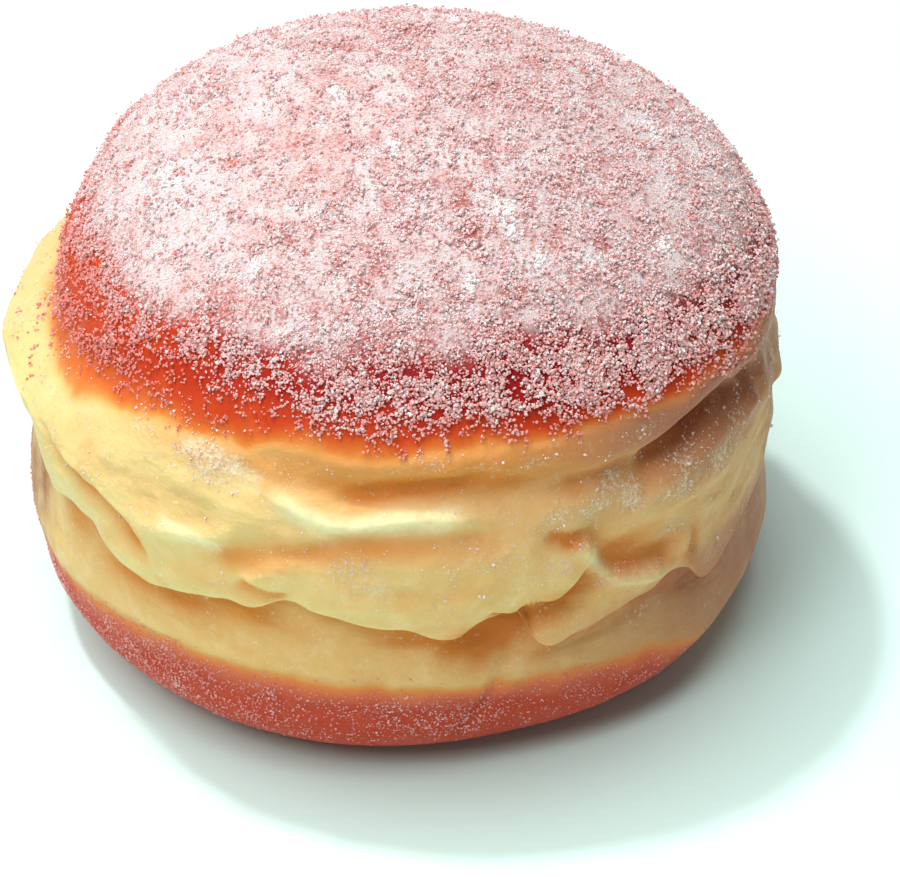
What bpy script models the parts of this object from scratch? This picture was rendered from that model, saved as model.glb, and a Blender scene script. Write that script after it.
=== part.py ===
"""A filled doughnut: one uncut solid of fried dough.

A tall round bun with a smooth browned dome, a wide pale waist that bulges, creases and hangs over in a lip, and a
browned lower edge round a flat underside. Its filling is shut inside, so nothing of it is modelled.

The side view is a column of points from the middle of the underside to the crown. Blender's spin turns that column
round the upright axis, and every point is then moved to where the dough really is at its own angle.

Angles go round the doughnut in degrees: 0 is the front (-Y), 90 the right (+X), 180 the back and -90 the left.
Run with: blender --background --python part.py
"""

import math

import bmesh
import bpy
import numpy as np

MM = 0.001

# ---- driving dimensions, in millimetres ----
DOME_RADIUS = 40.7  # half the width of the browned dome at its widest level
DOME_LEVEL = 43.6  # height of that level
DOME_RISE = 22.8  # from there up to the crown
DOME_SHIFT = 2.6  # how far the dome leans to the right of the base
SHIFT_FROM, SHIFT_TO = 22.0, 46.0  # heights between which the lean comes in
FLAT_RADIUS = 24.0  # the flat underside it rests on
EDGE_LEVEL = 11.0  # height at which the rounded lower edge ends
BAND_LEVEL = 16.5  # middle of the pale band under the lip
POCKET_RISE = 0.7  # how far the pocket behind the lip reaches above the lip's edge
BELLY_RISE = 7.0  # from the lip's edge up to the fullest part of the waist
LEDGE_DROP = 3.6  # from the upper groove down to the ledge below it
SHOULDER_RISE = 3.6  # from the upper groove up to the dome's shoulder

# ---- fineness of the solid ----
COLUMNS = 120
ROWS_UNDERSIDE = 2
ROWS_EDGE = 5
SPANS = ("edge", "band", "pocket", "lip", "belly", "ledge", "groove")  # each runs from its station to the next
ROWS_PER_SPAN = (3, 3, 3, 4, 4, 3, 3)
ROWS_DOME = 10
FOLD_SOFTNESS = 2.2  # half the width of a fold's step, one column

# ---- values that change round the doughnut, as (angle, millimetres) ----
EDGE_RADIUS = (
    (-100, 40.8), (-78, 41.3), (-62, 40.4), (-35, 39.8), (-12, 39.3), (5, 38.7), (20, 38.5), (36, 39.8),
    (50, 41.0), (68, 41.4), (90, 42.9), (108, 42.2), (140, 40.4), (180, 39.8),
)
BAND_RADIUS = (
    (-115, 42.0), (-92, 42.3), (-70, 41.4), (-45, 40.3), (0, 39.9), (25, 39.5), (50, 40.2), (72, 41.5), (90, 42.7),
    (125, 41.2), (180, 40.2),
)
LIP_HEIGHT = (
    (-170, 25), (-140, 27), (-115, 24.5), (-92, 25), (-74, 26.4), (-64, 28.2), (-55, 29.4), (-50.5, 28.6),
    (-46.5, 26.3), (-41, 26.2), (-34, 26.6), (-27, 27.9), (-22, 28.2), (-18, 30.2), (-13, 29.2), (-5, 27.8), (2, 27),
    (7.5, 26.4), (12, 24.4), (17, 22.4), (23, 20.8), (30, 21.6), (39, 23.8), (47, 24.5), (51, 21.6), (55, 22.2),
    (60, 24), (66, 25.8), (75, 26.2), (92, 25), (115, 26), (140, 23.5), (160, 26.5),
)
LIP_RADIUS = (
    (-135, 43.6), (-100, 43.6), (-85, 43.6), (-64, 43.2), (-42, 42.9), (-15, 42.8), (0, 42.9), (12, 42.4),
    (22, 41.2), (45, 42.4), (62, 42.4), (78, 42.6), (90, 42.8), (135, 42.6), (180, 42.8),
)
LIP_OVERHANG = (
    (-150, 2.4), (-120, 1.4), (-96, 0.4), (-84, 0.6), (-70, 1.4), (-55, 2.2), (-40, 2.4), (-19, 2.2), (0, 2.8),
    (10, 2.6), (18, 1.2), (30, 1.8), (48, 2.6), (58, 2.6), (74, 1.0), (92, 0.6), (110, 1.6), (135, 2.6), (170, 2.2),
)
BELLY_RADIUS = (
    (-135, 44.8), (-112, 45.2), (-92, 46.0), (-75, 45.6), (-60, 44.9), (-35, 44.0), (0, 43.5), (30, 42.6),
    (60, 42.0), (90, 42.4), (135, 43.2), (180, 43.6),
)
LEDGE_RADIUS = (
    (-135, 43.8), (-112, 45.0), (-92, 45.5), (-68, 44.9), (-45, 43.9), (-20, 42.8), (0, 42.3), (30, 41.8),
    (60, 41.2), (90, 41.8), (180, 42.6),
)
GROOVE_HEIGHT = (
    (-140, 42), (-100, 41.6), (-80, 41), (-66, 42), (-50, 43.4), (-30, 44), (0, 43.8), (16, 43.4), (30, 42),
    (39, 41.4), (48, 42.6), (58, 42.8), (70, 40.6), (90, 36.6), (125, 39), (180, 42.5),
)
GROOVE_RADIUS = (
    (-140, 40.6), (-100, 40.9), (-80, 41.2), (-66, 42.4), (-50, 42.6), (-35, 42.0), (-20, 40.8), (-8, 39.6),
    (15, 39.2), (30, 39.9), (40, 39), (50, 37.8), (58, 37.8), (70, 39), (90, 40.2), (130, 39.4), (160, 40.6),
    (180, 40.2),
)
DOME_SWELL = (
    (-160, 0.8), (-138, 1.0), (-122, 0.8), (-106, -0.3), (-80, 0), (60, 0), (90, -0.4), (108, -1.0), (126, -0.8),
    (140, -0.6), (155, -0.7), (175, -0.1),
)

# ---- creases and small lips on the waist ----
# Each follows a path of (angle, height). A lip's upper side stands out by the first amount and its lower side is
# drawn in by the second, fading over the two reaches; a crease is a valley of the given depth and half width.
LIPS = (
    (((-66, 37.5), (-56, 36.4), (-47, 35.2), (-41.5, 32.6), (-38, 28.6)), (0.8, 1.3), (4.5, 2.8)),
    (((5, 26.4), (9, 28.6), (16, 29.2), (23, 29), (28.5, 33.6)), (0.7, 2.0), (3.8, 3.4)),
    (((23, 37.8), (28.4, 33.9), (32.5, 29.8), (40.5, 27.2), (48, 25.7)), (-1.5, -0.9), (3.8, 2.2)),
    (((118, 38), (130, 31), (138, 27)), (1.1, 1.0), (4.0, 2.6)),
    (((-128, 36.5), (-120, 32), (-112, 29)), (1.0, 0.9), (4.0, 2.4)),
    (((156, 32), (168, 30.4), (184, 31.4)), (0.9, 0.9), (4.0, 2.4)),
)
CREASES = (
    (((-34, 33.4), (-21, 36.2), (-8, 38.4), (4, 38.9), (18, 38.4)), 1.0, 2.0),
    (((18, 38.6), (23, 37), (29, 35.4)), 1.4, 1.9),
    (((31, 35), (36, 31.6), (42, 28.8), (50, 27.6)), 1.1, 2.1),
    (((33, 37), (44, 36), (55, 35), (66, 34)), -0.7, 1.9),
    (((98, 34), (112, 35.6), (128, 33.2), (142, 34.6)), 1.2, 2.0),
    (((-178, 35.5), (-160, 33.6), (-146, 35.2), (-132, 33.0)), 1.1, 2.1),
)
BASE_CREASE = (((8, 2), (11, 10), (17, 17), (21, 22)), 0.6, 1.5)  # runs down the lower band to the edge
FOLD_FADE = 0.22  # share of a fold's length over which each end dies away
SIDE_RADIUS = 42.0  # radius on which a fold's distances round the side are measured


def clear_scene():
    for thing in list(bpy.data.objects):
        bpy.data.objects.remove(thing, do_unlink=True)


def smooth_step(low, high, value):
    share = np.clip((value - low) / (high - low), 0.0, 1.0)
    return share * share * (3.0 - 2.0 * share)


def around(angle, knots, blend=14):
    """A value that changes round the doughnut: straight between its knots, then rounded off over `blend` degrees."""
    degrees, values = zip(*knots)
    every_degree = np.arange(-180.0, 180.0)
    plain = np.interp(every_degree, degrees, values, period=360.0)
    window = np.hanning(blend + 2)[1:-1]
    lapped = np.concatenate([plain[-blend:], plain, plain[:blend]])
    rounded = np.convolve(lapped, window / window.sum(), "same")[blend:-blend]
    return np.interp(angle, every_degree, rounded, period=360.0)


def through_stations(stations):
    """Rows on a smooth (Catmull-Rom) curve through stations, each a pair of arrays: radius and height per column.
    The first and last stations only steer the curve, which runs from the second to the last but one."""
    rows = []
    for i, count in enumerate(ROWS_PER_SPAN):
        before, start, end, after = (np.array(stations[i + k]) for k in range(4))
        for t in np.arange(count) / count:
            linear = (end - before) * t
            square = (2 * before - 5 * start + 4 * end - after) * t**2
            cubic = (3 * start - before - 3 * end + after) * t**3
            rows.append(0.5 * (2 * start + linear + square + cubic))
    return rows


def dome_point(turn, swell):
    """Radius and height on the dome's ellipse, `turn` radians above its widest level, swollen out by `swell`."""
    return (DOME_RADIUS + swell * np.cos(turn)) * np.cos(turn), DOME_LEVEL + DOME_RISE * np.sin(turn)


def side_view(angle):
    """Radius and height of every row, bottom to crown, for the columns that stand at these angles, and for each row
    how much it belongs to the waist above the hanging lip, from 0 to 1."""
    level = np.ones_like(angle)
    flat = np.array([FLAT_RADIUS * level, 0 * level])
    edge = np.array([around(angle, EDGE_RADIUS), EDGE_LEVEL * level])
    lip_height = around(angle, LIP_HEIGHT, blend=10)
    lip_radius = around(angle, LIP_RADIUS)
    groove_height = around(angle, GROOVE_HEIGHT)
    band = (around(angle, BAND_RADIUS), np.minimum(BAND_LEVEL, lip_height - 4.0))
    pocket = (lip_radius - around(angle, LIP_OVERHANG, blend=8), lip_height + POCKET_RISE)
    lip = (lip_radius, lip_height)
    belly = (around(angle, BELLY_RADIUS), lip_height + BELLY_RISE)
    ledge = (around(angle, LEDGE_RADIUS), groove_height - LEDGE_DROP)
    groove = (around(angle, GROOVE_RADIUS), groove_height)
    swell = around(angle, DOME_SWELL)
    shoulder_turn = np.arcsin((groove_height + SHOULDER_RISE - DOME_LEVEL) / DOME_RISE)

    rows = [flat * share for share in np.arange(ROWS_UNDERSIDE) / ROWS_UNDERSIDE]
    for turn in np.arange(ROWS_EDGE) / ROWS_EDGE * math.pi / 2:
        radius = flat[0] + (edge[0] - flat[0]) * math.sin(turn)
        rows.append(np.array([radius, edge[1] * (1.0 - math.cos(turn))]))
    below_edge = (edge[0], edge[1] - 5.0)
    shoulder = dome_point(shoulder_turn, swell)
    above = dome_point(shoulder_turn + 0.15, swell)
    rows += through_stations((below_edge, edge, band, pocket, lip, belly, ledge, groove, shoulder, above))
    for share in np.arange(ROWS_DOME + 1) / ROWS_DOME:
        rows.append(np.array(dome_point(shoulder_turn + (math.pi / 2 - shoulder_turn) * share, swell)))

    first = ROWS_UNDERSIDE + ROWS_EDGE + sum(ROWS_PER_SPAN[: SPANS.index("lip")])
    waist = np.clip((np.arange(len(rows)) - first) / (0.5 * ROWS_PER_SPAN[SPANS.index("lip")]), 0.0, 1.0)
    return rows, waist


def path_offsets(angle, height, path):
    """How far each point lies from a path on the unrolled side (positive above a path that runs to the right), and
    how far along the path it is, from 0 to 1."""
    turned = np.radians((angle - path[0][0] + 180.0) % 360.0 - 180.0) * SIDE_RADIUS
    corners = [(math.radians((a - path[0][0]) % 360.0) * SIDE_RADIUS, h) for a, h in path]
    lengths = [math.dist(a, b) for a, b in zip(corners, corners[1:])]
    nearest = np.full(angle.shape, np.inf)
    side, along = np.ones(angle.shape), np.zeros(angle.shape)
    gone = 0.0
    for (x0, h0), (x1, h1), length in zip(corners, corners[1:], lengths):
        step_x, step_h = (x1 - x0) / length, (h1 - h0) / length
        to_x, to_h = turned - x0, height - h0
        reach = np.clip(to_x * step_x + to_h * step_h, 0.0, length)
        distance = np.hypot(to_x - reach * step_x, to_h - reach * step_h)
        closer = distance < nearest
        nearest = np.where(closer, distance, nearest)
        side = np.where(closer, np.sign(step_x * to_h - step_h * to_x + 1e-9), side)
        along = np.where(closer, (gone + reach) / sum(lengths), along)
        gone += length
    return nearest * side, along


def ends_fade(along):
    return smooth_step(0.0, FOLD_FADE, along) * smooth_step(0.0, FOLD_FADE, 1.0 - along)


def lip_push(angle, height, path, amounts, reaches):
    """How far outwards a small hanging lip moves each point: out above its path, in below it."""
    offset, along = path_offsets(angle, height, path)
    above = smooth_step(-FOLD_SOFTNESS, FOLD_SOFTNESS, offset)
    out = amounts[0] * above * np.exp(-((offset / reaches[0]) ** 2))
    tuck = amounts[1] * (1.0 - above) * np.exp(-((offset / reaches[1]) ** 2))
    return (out - tuck) * ends_fade(along)


def crease_push(angle, height, path, depth, width):
    """How far outwards a crease moves each point: its depth inwards along the path."""
    offset, along = path_offsets(angle, height, path)
    return -depth * np.exp(-((offset / width) ** 2)) * ends_fade(along)


def dough_points(angle):
    """The finished place of every row and column, in millimetres, as an array of rows x columns x 3."""
    rows, waist = side_view(angle)
    placed = []
    for (radius, height), share in zip(rows, waist):
        folds = sum(lip_push(angle, height, *lip) for lip in LIPS)
        folds = folds + sum(crease_push(angle, height, *crease) for crease in CREASES)
        base = crease_push(angle, height, *BASE_CREASE) if share == 0.0 else 0.0
        radius = np.maximum(radius + folds * share + base * smooth_step(0.0, EDGE_LEVEL, height), 0.0)
        shift = DOME_SHIFT * smooth_step(SHIFT_FROM, SHIFT_TO, height)
        x = radius * np.sin(np.radians(angle)) + shift
        y = -radius * np.cos(np.radians(angle))
        placed.append(np.stack([x, y, height], axis=1))
    return np.array(placed)


def turned_column(name, rows):
    """A column of `rows` points spun once round the Z axis, with each point's row kept in a layer."""
    work = bmesh.new()
    row_layer = work.verts.layers.int.new("row")
    column = []
    for row in range(rows):
        # a plain half circle: its only task is to give the spin one open strip with both ends on the axis
        turn = math.pi * row / (rows - 1)
        point = work.verts.new((0.0, -math.sin(turn) if 0 < row < rows - 1 else 0.0, -math.cos(turn)))
        point[row_layer] = row
        column.append(point)
    edges = [work.edges.new(pair) for pair in zip(column, column[1:])]
    bmesh.ops.spin(
        work, geom=column + edges, cent=(0, 0, 0), axis=(0, 0, 1), angle=math.tau, steps=COLUMNS, use_merge=True
    )
    bmesh.ops.remove_doubles(work, verts=work.verts, dist=1e-6)
    bmesh.ops.recalc_face_normals(work, faces=work.faces)
    mesh = bpy.data.meshes.new(name)
    work.to_mesh(mesh)
    work.free()
    return mesh


def shape_dough(mesh):
    """Moves each point of the turned column to its place in the dough, and centres the box on the origin."""
    angle = np.arange(COLUMNS) * 360.0 / COLUMNS - 180.0
    placed = dough_points(angle)
    middle = (placed.reshape(-1, 3).min(axis=0) + placed.reshape(-1, 3).max(axis=0)) / 2
    row_layer = mesh.attributes["row"].data
    for vertex in mesh.vertices:
        row = row_layer[vertex.index].value
        degrees = math.degrees(math.atan2(vertex.co.x, -vertex.co.y)) + 180.0
        column = round(degrees * COLUMNS / 360.0) % COLUMNS
        x, y, z = placed[row][column]
        vertex.co = ((x - middle[0]) * MM, (y - middle[1]) * MM, z * MM)


def split_along_folds(mesh):
    """Cuts each four-sided face along its shorter diagonal, which runs with a fold and not across it."""
    work = bmesh.new()
    work.from_mesh(mesh)
    bmesh.ops.triangulate(work, faces=work.faces, quad_method="SHORT_EDGE")
    work.to_mesh(mesh)
    work.free()


def fried_dough():
    """The material of the browned, sugared surface, as one plain finish."""
    finish = bpy.data.materials.new("fried_dough")
    finish.use_nodes = True
    shader = finish.node_tree.nodes["Principled BSDF"]
    shader.inputs["Base Color"].default_value = (0.72, 0.38, 0.15, 1.0)
    shader.inputs["Roughness"].default_value = 0.6
    shader.inputs["Metallic"].default_value = 0.0
    return finish


def make_doughnut():
    rows = len(side_view(np.zeros(1))[0])
    mesh = turned_column("doughnut", rows)
    shape_dough(mesh)
    split_along_folds(mesh)
    mesh.shade_smooth()
    mesh.materials.append(fried_dough())
    doughnut = bpy.data.objects.new("doughnut", mesh)
    bpy.context.scene.collection.objects.link(doughnut)
    return doughnut


clear_scene()
make_doughnut()
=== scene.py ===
# %% [markdown]
# # A sugared, filled doughnut
#
# The solid doughnut of the part is loaded as a fixed frame. It gives the place and the size of everything below.
# This lesson dresses it: a fine skin of fried dough with its folds, the browning, and the sugar on top.

# %% Load the frame
import math

import bmesh
import bpy
import numpy as np
from mathutils import Matrix, Vector


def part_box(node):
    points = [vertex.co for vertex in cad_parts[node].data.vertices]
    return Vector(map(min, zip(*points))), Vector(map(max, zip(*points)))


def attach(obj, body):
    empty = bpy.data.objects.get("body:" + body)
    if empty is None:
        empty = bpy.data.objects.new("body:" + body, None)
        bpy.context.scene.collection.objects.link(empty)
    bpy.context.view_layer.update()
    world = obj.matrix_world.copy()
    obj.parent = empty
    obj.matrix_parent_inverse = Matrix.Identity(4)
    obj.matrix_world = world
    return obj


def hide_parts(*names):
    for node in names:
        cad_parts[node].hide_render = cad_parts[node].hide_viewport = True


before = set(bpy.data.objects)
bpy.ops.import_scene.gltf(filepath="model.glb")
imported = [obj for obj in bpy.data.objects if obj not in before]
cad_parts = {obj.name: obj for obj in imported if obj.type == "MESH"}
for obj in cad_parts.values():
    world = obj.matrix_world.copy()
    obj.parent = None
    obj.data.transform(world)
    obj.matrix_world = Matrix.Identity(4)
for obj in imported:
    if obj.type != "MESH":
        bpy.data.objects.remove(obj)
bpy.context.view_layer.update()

MM = 0.001
NODE = "doughnut"
box_low, box_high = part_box(NODE)
width_mm, depth_mm, height_mm = ((box_high - box_low) / MM)[:]
print(f"the doughnut is {width_mm:.1f} x {depth_mm:.1f} x {height_mm:.1f} mm")

# %% [markdown]
# ## The skin of dough
#
# A filled doughnut rises in the fryer and floats half out of the oil. The top and the bottom brown, and a pale
# waist stays between them. As the hot dough cools, the waist sinks and creases, and here it hangs over in a lip.
#
# Sculpting by hand would give such folds, but nobody could repeat them. So the shape is written down: a side view is
# a column of stations (edge, band, lip, belly, ledge, groove, dome), and each station's radius and height change
# with the angle round the doughnut. Angles are in degrees: 0 is the front (-Y), 90 the right (+X), -90 the left.
# Lengths are in millimetres until the very end.

# %% The driving sizes
DOME_RADIUS = 40.7
DOME_LEVEL = 43.6
DOME_RISE = height_mm - DOME_LEVEL
DOME_SHIFT = 2.6
SHIFT_FROM, SHIFT_TO = 22.0, 46.0
FLAT_RADIUS = 24.0
EDGE_LEVEL = 11.0
BAND_LEVEL = 16.5
POCKET_RISE = 1.6
POCKET_DEEPER = 0.4  # the fine skin tucks in this much further behind the lip than the solid does
BELLY_RISE = 7.0
LEDGE_DROP = 3.6
SHOULDER_RISE = 3.6

EDGE_RADIUS = (
    (-100, 41.3), (-84, 41.4), (-70, 40.8), (-62, 40.4), (-35, 39.8), (-12, 39.3), (5, 38.7), (20, 38.5), (36, 39.8),
    (50, 41.0), (68, 41.4), (90, 42.9), (108, 42.2), (140, 40.4), (180, 39.8),
)
BAND_RADIUS = (
    (-115, 42.0), (-92, 42.6), (-78, 41.9), (-66, 41.2), (-45, 40.3), (0, 39.9), (25, 39.5), (50, 40.2), (72, 41.5), (90, 42.7),
    (125, 41.2), (180, 40.2),
)
LIP_HEIGHT = (
    (-170, 25), (-140, 27), (-115, 24.5), (-95, 26.4), (-86, 29), (-79, 31.4), (-72, 31.6), (-69.4, 31), (-67.4, 28.6),
    (-65, 27.2), (-61, 28.4), (-56, 29.4), (-51.5, 29.2),
    (-47.5, 26.6), (-42, 26.2), (-35, 26.6), (-27, 27.9), (-21.5, 28.2), (-18, 30.2), (-13, 29.2), (-5, 27.8),
    (2, 26.6), (6.8, 25.5), (9.0, 25.6), (10.8, 27.0), (13, 27.7), (17.5, 27.5), (19.2, 25.8), (20.6, 22.9), (22.2, 21.1),
    (24.5, 20.6), (30, 21.6), (39, 23.8), (46, 24.6), (50, 23.2), (51.5, 21.4),
    (53, 19.4), (56, 19.6), (60, 20.8), (66, 22.6), (75, 24), (92, 25), (115, 26), (140, 23.5), (160, 26.5),
)
LIP_RADIUS = (
    (-135, 43.6), (-100, 43.6), (-88, 43.2), (-80, 42.4), (-71, 42.2), (-63, 43.2), (-42, 42.9), (-15, 42.8), (0, 42.9), (12, 42.4),
    (22, 41.2), (45, 42.4), (62, 42.4), (78, 42.6), (90, 42.8), (135, 42.6), (180, 42.8),
)
LIP_OVERHANG = (
    (-150, 2.4), (-120, 1.8), (-98, 1.6), (-86, 1.2), (-70, 1.3), (-62, 2.0), (-55, 2.2), (-40, 2.4), (-19, 2.2), (0, 2.8),
    (10, 2.6), (16, 2.2), (22, 1.2), (30, 1.8), (48, 2.6), (58, 2.6), (74, 1.0), (92, 0.6), (110, 1.6), (135, 2.6), (170, 2.2),
)
BELLY_RADIUS = (
    (-135, 44.8), (-112, 45.2), (-92, 46.0), (-75, 45.6), (-60, 44.9), (-35, 44.0), (0, 43.5), (30, 42.6),
    (60, 42.0), (90, 42.4), (135, 43.2), (180, 43.6),
)
LEDGE_RADIUS = (
    (-135, 43.8), (-112, 45.0), (-92, 45.5), (-68, 44.9), (-45, 43.9), (-20, 42.8), (0, 42.3), (30, 41.8),
    (60, 41.2), (90, 41.8), (180, 42.6),
)
GROOVE_HEIGHT = (
    (-140, 42), (-100, 41.6), (-80, 41), (-66, 42), (-50, 43.4), (-30, 44), (0, 43.8), (16, 43.4), (30, 42.0),
    (39, 41.4), (48, 42.6), (58, 42.8), (70, 40.6), (90, 36.6), (125, 39), (180, 42.5),
)
GROOVE_RADIUS = (
    (-140, 40.6), (-100, 40.9), (-80, 41.2), (-66, 42.4), (-50, 42.6), (-35, 42.0), (-20, 40.8), (-8, 39.6),
    (15, 39.2), (30, 39.9), (40, 39.0), (50, 37.8), (58, 37.8), (70, 39.0), (90, 40.2), (130, 39.4),
    (160, 40.6), (180, 40.2),
)
DOME_SWELL = (
    (-160, 0.8), (-138, 1.0), (-122, 0.8), (-106, -0.3), (-80, 0), (60, 0), (90, -0.4), (108, -1.0), (126, -0.8),
    (140, -0.6), (155, -0.7), (175, -0.1),
)

# %% Helpers that read those sizes
COLUMNS = 400
FRONT_SHARE = 0.3  # how much closer together the columns stand at the front than on average


def smooth_step(low, high, value):
    share = np.clip((value - low) / (high - low), 0.0, 1.0)
    return share * share * (3.0 - 2.0 * share)


def around(angle, knots, blend=14):
    """A value that changes round the doughnut, straight between its knots and then rounded off over `blend` degrees."""
    degrees, values = zip(*knots)
    every_degree = np.arange(-180.0, 180.0)
    plain = np.interp(every_degree, degrees, values, period=360.0)
    window = np.hanning(blend + 2)[1:-1]
    lapped = np.concatenate([plain[-blend:], plain, plain[:blend]])
    rounded = np.convolve(lapped, window / window.sum(), "same")[blend:-blend]
    return np.interp(angle, every_degree, rounded, period=360.0)


turn = np.arange(COLUMNS) / COLUMNS * math.tau - math.pi
column_angle = np.degrees(turn - FRONT_SHARE * np.sin(turn))
print(f"columns stand {np.radians(np.diff(column_angle)).min() * 42:.2f} mm apart at the front")

# %% [markdown]
# The side view is built for all columns at once, so each row is an array with one radius and one height per column.
# A Catmull-Rom curve runs through the stations. It passes exactly through each of them, so a station can be moved
# without upsetting the rest, which a Bezier curve would not allow.

# %% The side view
ROWS_UNDERSIDE = 4
ROWS_EDGE = 22
SPANS = ("edge", "band", "pocket", "lip", "belly", "ledge", "groove")
ROWS_PER_SPAN = (16, 26, 8, 40, 38, 16, 16)
ROWS_DOME = 58


def dome_point(turn, swell):
    return (DOME_RADIUS + swell * np.cos(turn)) * np.cos(turn), DOME_LEVEL + DOME_RISE * np.sin(turn)


def through_stations(stations):
    rows = []
    for i, count in enumerate(ROWS_PER_SPAN):
        before, start, end, after = (np.array(stations[i + k]) for k in range(4))
        for t in np.arange(count) / count:
            linear = (end - before) * t
            square = (2 * before - 5 * start + 4 * end - after) * t**2
            cubic = (3 * start - before - 3 * end + after) * t**3
            rows.append(0.5 * (2 * start + linear + square + cubic))
    return rows


def lip_edge(angle):
    """Height of the lip's edge, with the small unevenness of torn-looking dough."""
    turns = np.radians(angle)
    ripple = 0.16 * np.sin(23 * turns + 1.1) + 0.12 * np.sin(41 * turns + 0.4) + 0.09 * np.sin(67 * turns)
    return around(angle, LIP_HEIGHT, blend=4) + ripple


def side_view(angle):
    """Radius and height of every row (rows x columns), and each row's share of the waist above the lip."""
    level = np.ones_like(angle)
    flat = np.array([FLAT_RADIUS * level, 0 * level])
    edge = np.array([around(angle, EDGE_RADIUS), EDGE_LEVEL * level])
    lip_height = lip_edge(angle)
    lip_radius = around(angle, LIP_RADIUS)
    groove_height = around(angle, GROOVE_HEIGHT)
    band = (around(angle, BAND_RADIUS), np.minimum(BAND_LEVEL, lip_height - 4.0))
    tuck = around(angle, LIP_OVERHANG, blend=8)
    pocket = (lip_radius - tuck - POCKET_DEEPER, lip_height + POCKET_RISE)
    lip = (lip_radius, lip_height)
    ledge = (around(angle, LEDGE_RADIUS), groove_height - LEDGE_DROP)
    belly_height = np.minimum(lip_height + BELLY_RISE, (lip_height + ledge[1]) / 2 + 2.0)
    belly = (around(angle, BELLY_RADIUS), belly_height)
    groove = (around(angle, GROOVE_RADIUS), groove_height)
    swell = around(angle, DOME_SWELL)
    shoulder_turn = np.arcsin((groove_height + SHOULDER_RISE - DOME_LEVEL) / DOME_RISE)

    rows = [flat * share for share in np.arange(ROWS_UNDERSIDE) / ROWS_UNDERSIDE]
    for turn in np.arange(ROWS_EDGE) / ROWS_EDGE * math.pi / 2:
        radius = flat[0] + (edge[0] - flat[0]) * math.sin(turn)
        rows.append(np.array([radius, edge[1] * (1.0 - math.cos(turn))]))
    below_edge = (edge[0], edge[1] - 5.0)
    shoulder = dome_point(shoulder_turn, swell)
    above = dome_point(shoulder_turn + 0.15, swell)
    rows += through_stations((below_edge, edge, band, pocket, lip, belly, ledge, groove, shoulder, above))
    for share in np.arange(ROWS_DOME + 1) / ROWS_DOME:
        rows.append(np.array(dome_point(shoulder_turn + (math.pi / 2 - shoulder_turn) * share, swell)))

    first = ROWS_UNDERSIDE + ROWS_EDGE + sum(ROWS_PER_SPAN[: SPANS.index("lip")])
    waist = np.clip((np.arange(len(rows)) - first) / 6.0, 0.0, 1.0)
    table = np.array(rows)
    return table[:, 0], table[:, 1], waist[:, None]


radius, height, waist = side_view(column_angle)
ROWS = len(radius)
angle = np.broadcast_to(column_angle, radius.shape)
LIP_ROW = ROWS_UNDERSIDE + ROWS_EDGE + sum(ROWS_PER_SPAN[: SPANS.index("lip")])
print(f"{ROWS} rows x {COLUMNS} columns, {2 * ROWS * COLUMNS} triangles at most")

# %% [markdown]
# ## Folds in the waist
#
# Soft dough creases along lines. A crease is a valley. A small lip is a step: the dough above the line stands out
# and droops a little over the dough below, which is drawn in. Each line is a short path of (angle, height) points on
# the unrolled side, and every point of the skin knows how far it is from the line. That distance drives the push,
# so one small function makes every fold.

# %% Distance from a fold's line
SIDE_RADIUS = 42.0
FOLD_FADE = 0.2
STEP_SOFTNESS = 0.45


def rounded_path(path, steps=6):
    """The path's corners rounded off: a Catmull-Rom curve through its points."""
    points = np.array([path[0], *path, path[-1]], float)
    found = []
    for before, start, end, after in zip(points, points[1:], points[2:], points[3:]):
        for t in np.arange(steps) / steps:
            found.append(
                0.5
                * (
                    2 * start
                    + (end - before) * t
                    + (2 * before - 5 * start + 4 * end - after) * t**2
                    + (3 * start - before - 3 * end + after) * t**3
                )
            )
    return np.array([*found, points[-1]])


def path_offsets(path):
    """How far each point of the skin lies from a path (positive above one that runs to the right), and how far along
    it, from 0 to 1."""
    corners = rounded_path(path)
    start_angle = corners[0][0]
    turned = np.radians((angle - start_angle + 180.0) % 360.0 - 180.0) * SIDE_RADIUS
    corners = [(math.radians(a - start_angle) * SIDE_RADIUS, h) for a, h in corners]
    lengths = [math.dist(a, b) for a, b in zip(corners, corners[1:])]
    nearest = np.full(angle.shape, np.inf)
    side, along = np.ones(angle.shape), np.zeros(angle.shape)
    gone = 0.0
    for (x0, h0), (x1, h1), length in zip(corners, corners[1:], lengths):
        step_x, step_h = (x1 - x0) / length, (h1 - h0) / length
        to_x, to_h = turned - x0, height - h0
        reach = np.clip(to_x * step_x + to_h * step_h, 0.0, length)
        distance = np.hypot(to_x - reach * step_x, to_h - reach * step_h)
        closer = distance < nearest
        nearest = np.where(closer, distance, nearest)
        side = np.where(closer, np.sign(step_x * to_h - step_h * to_x + 1e-9), side)
        along = np.where(closer, (gone + reach) / sum(lengths), along)
        gone += length
    fade = smooth_step(0.0, FOLD_FADE, along) * smooth_step(0.0, FOLD_FADE, 1.0 - along)
    return nearest * side, fade


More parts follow.
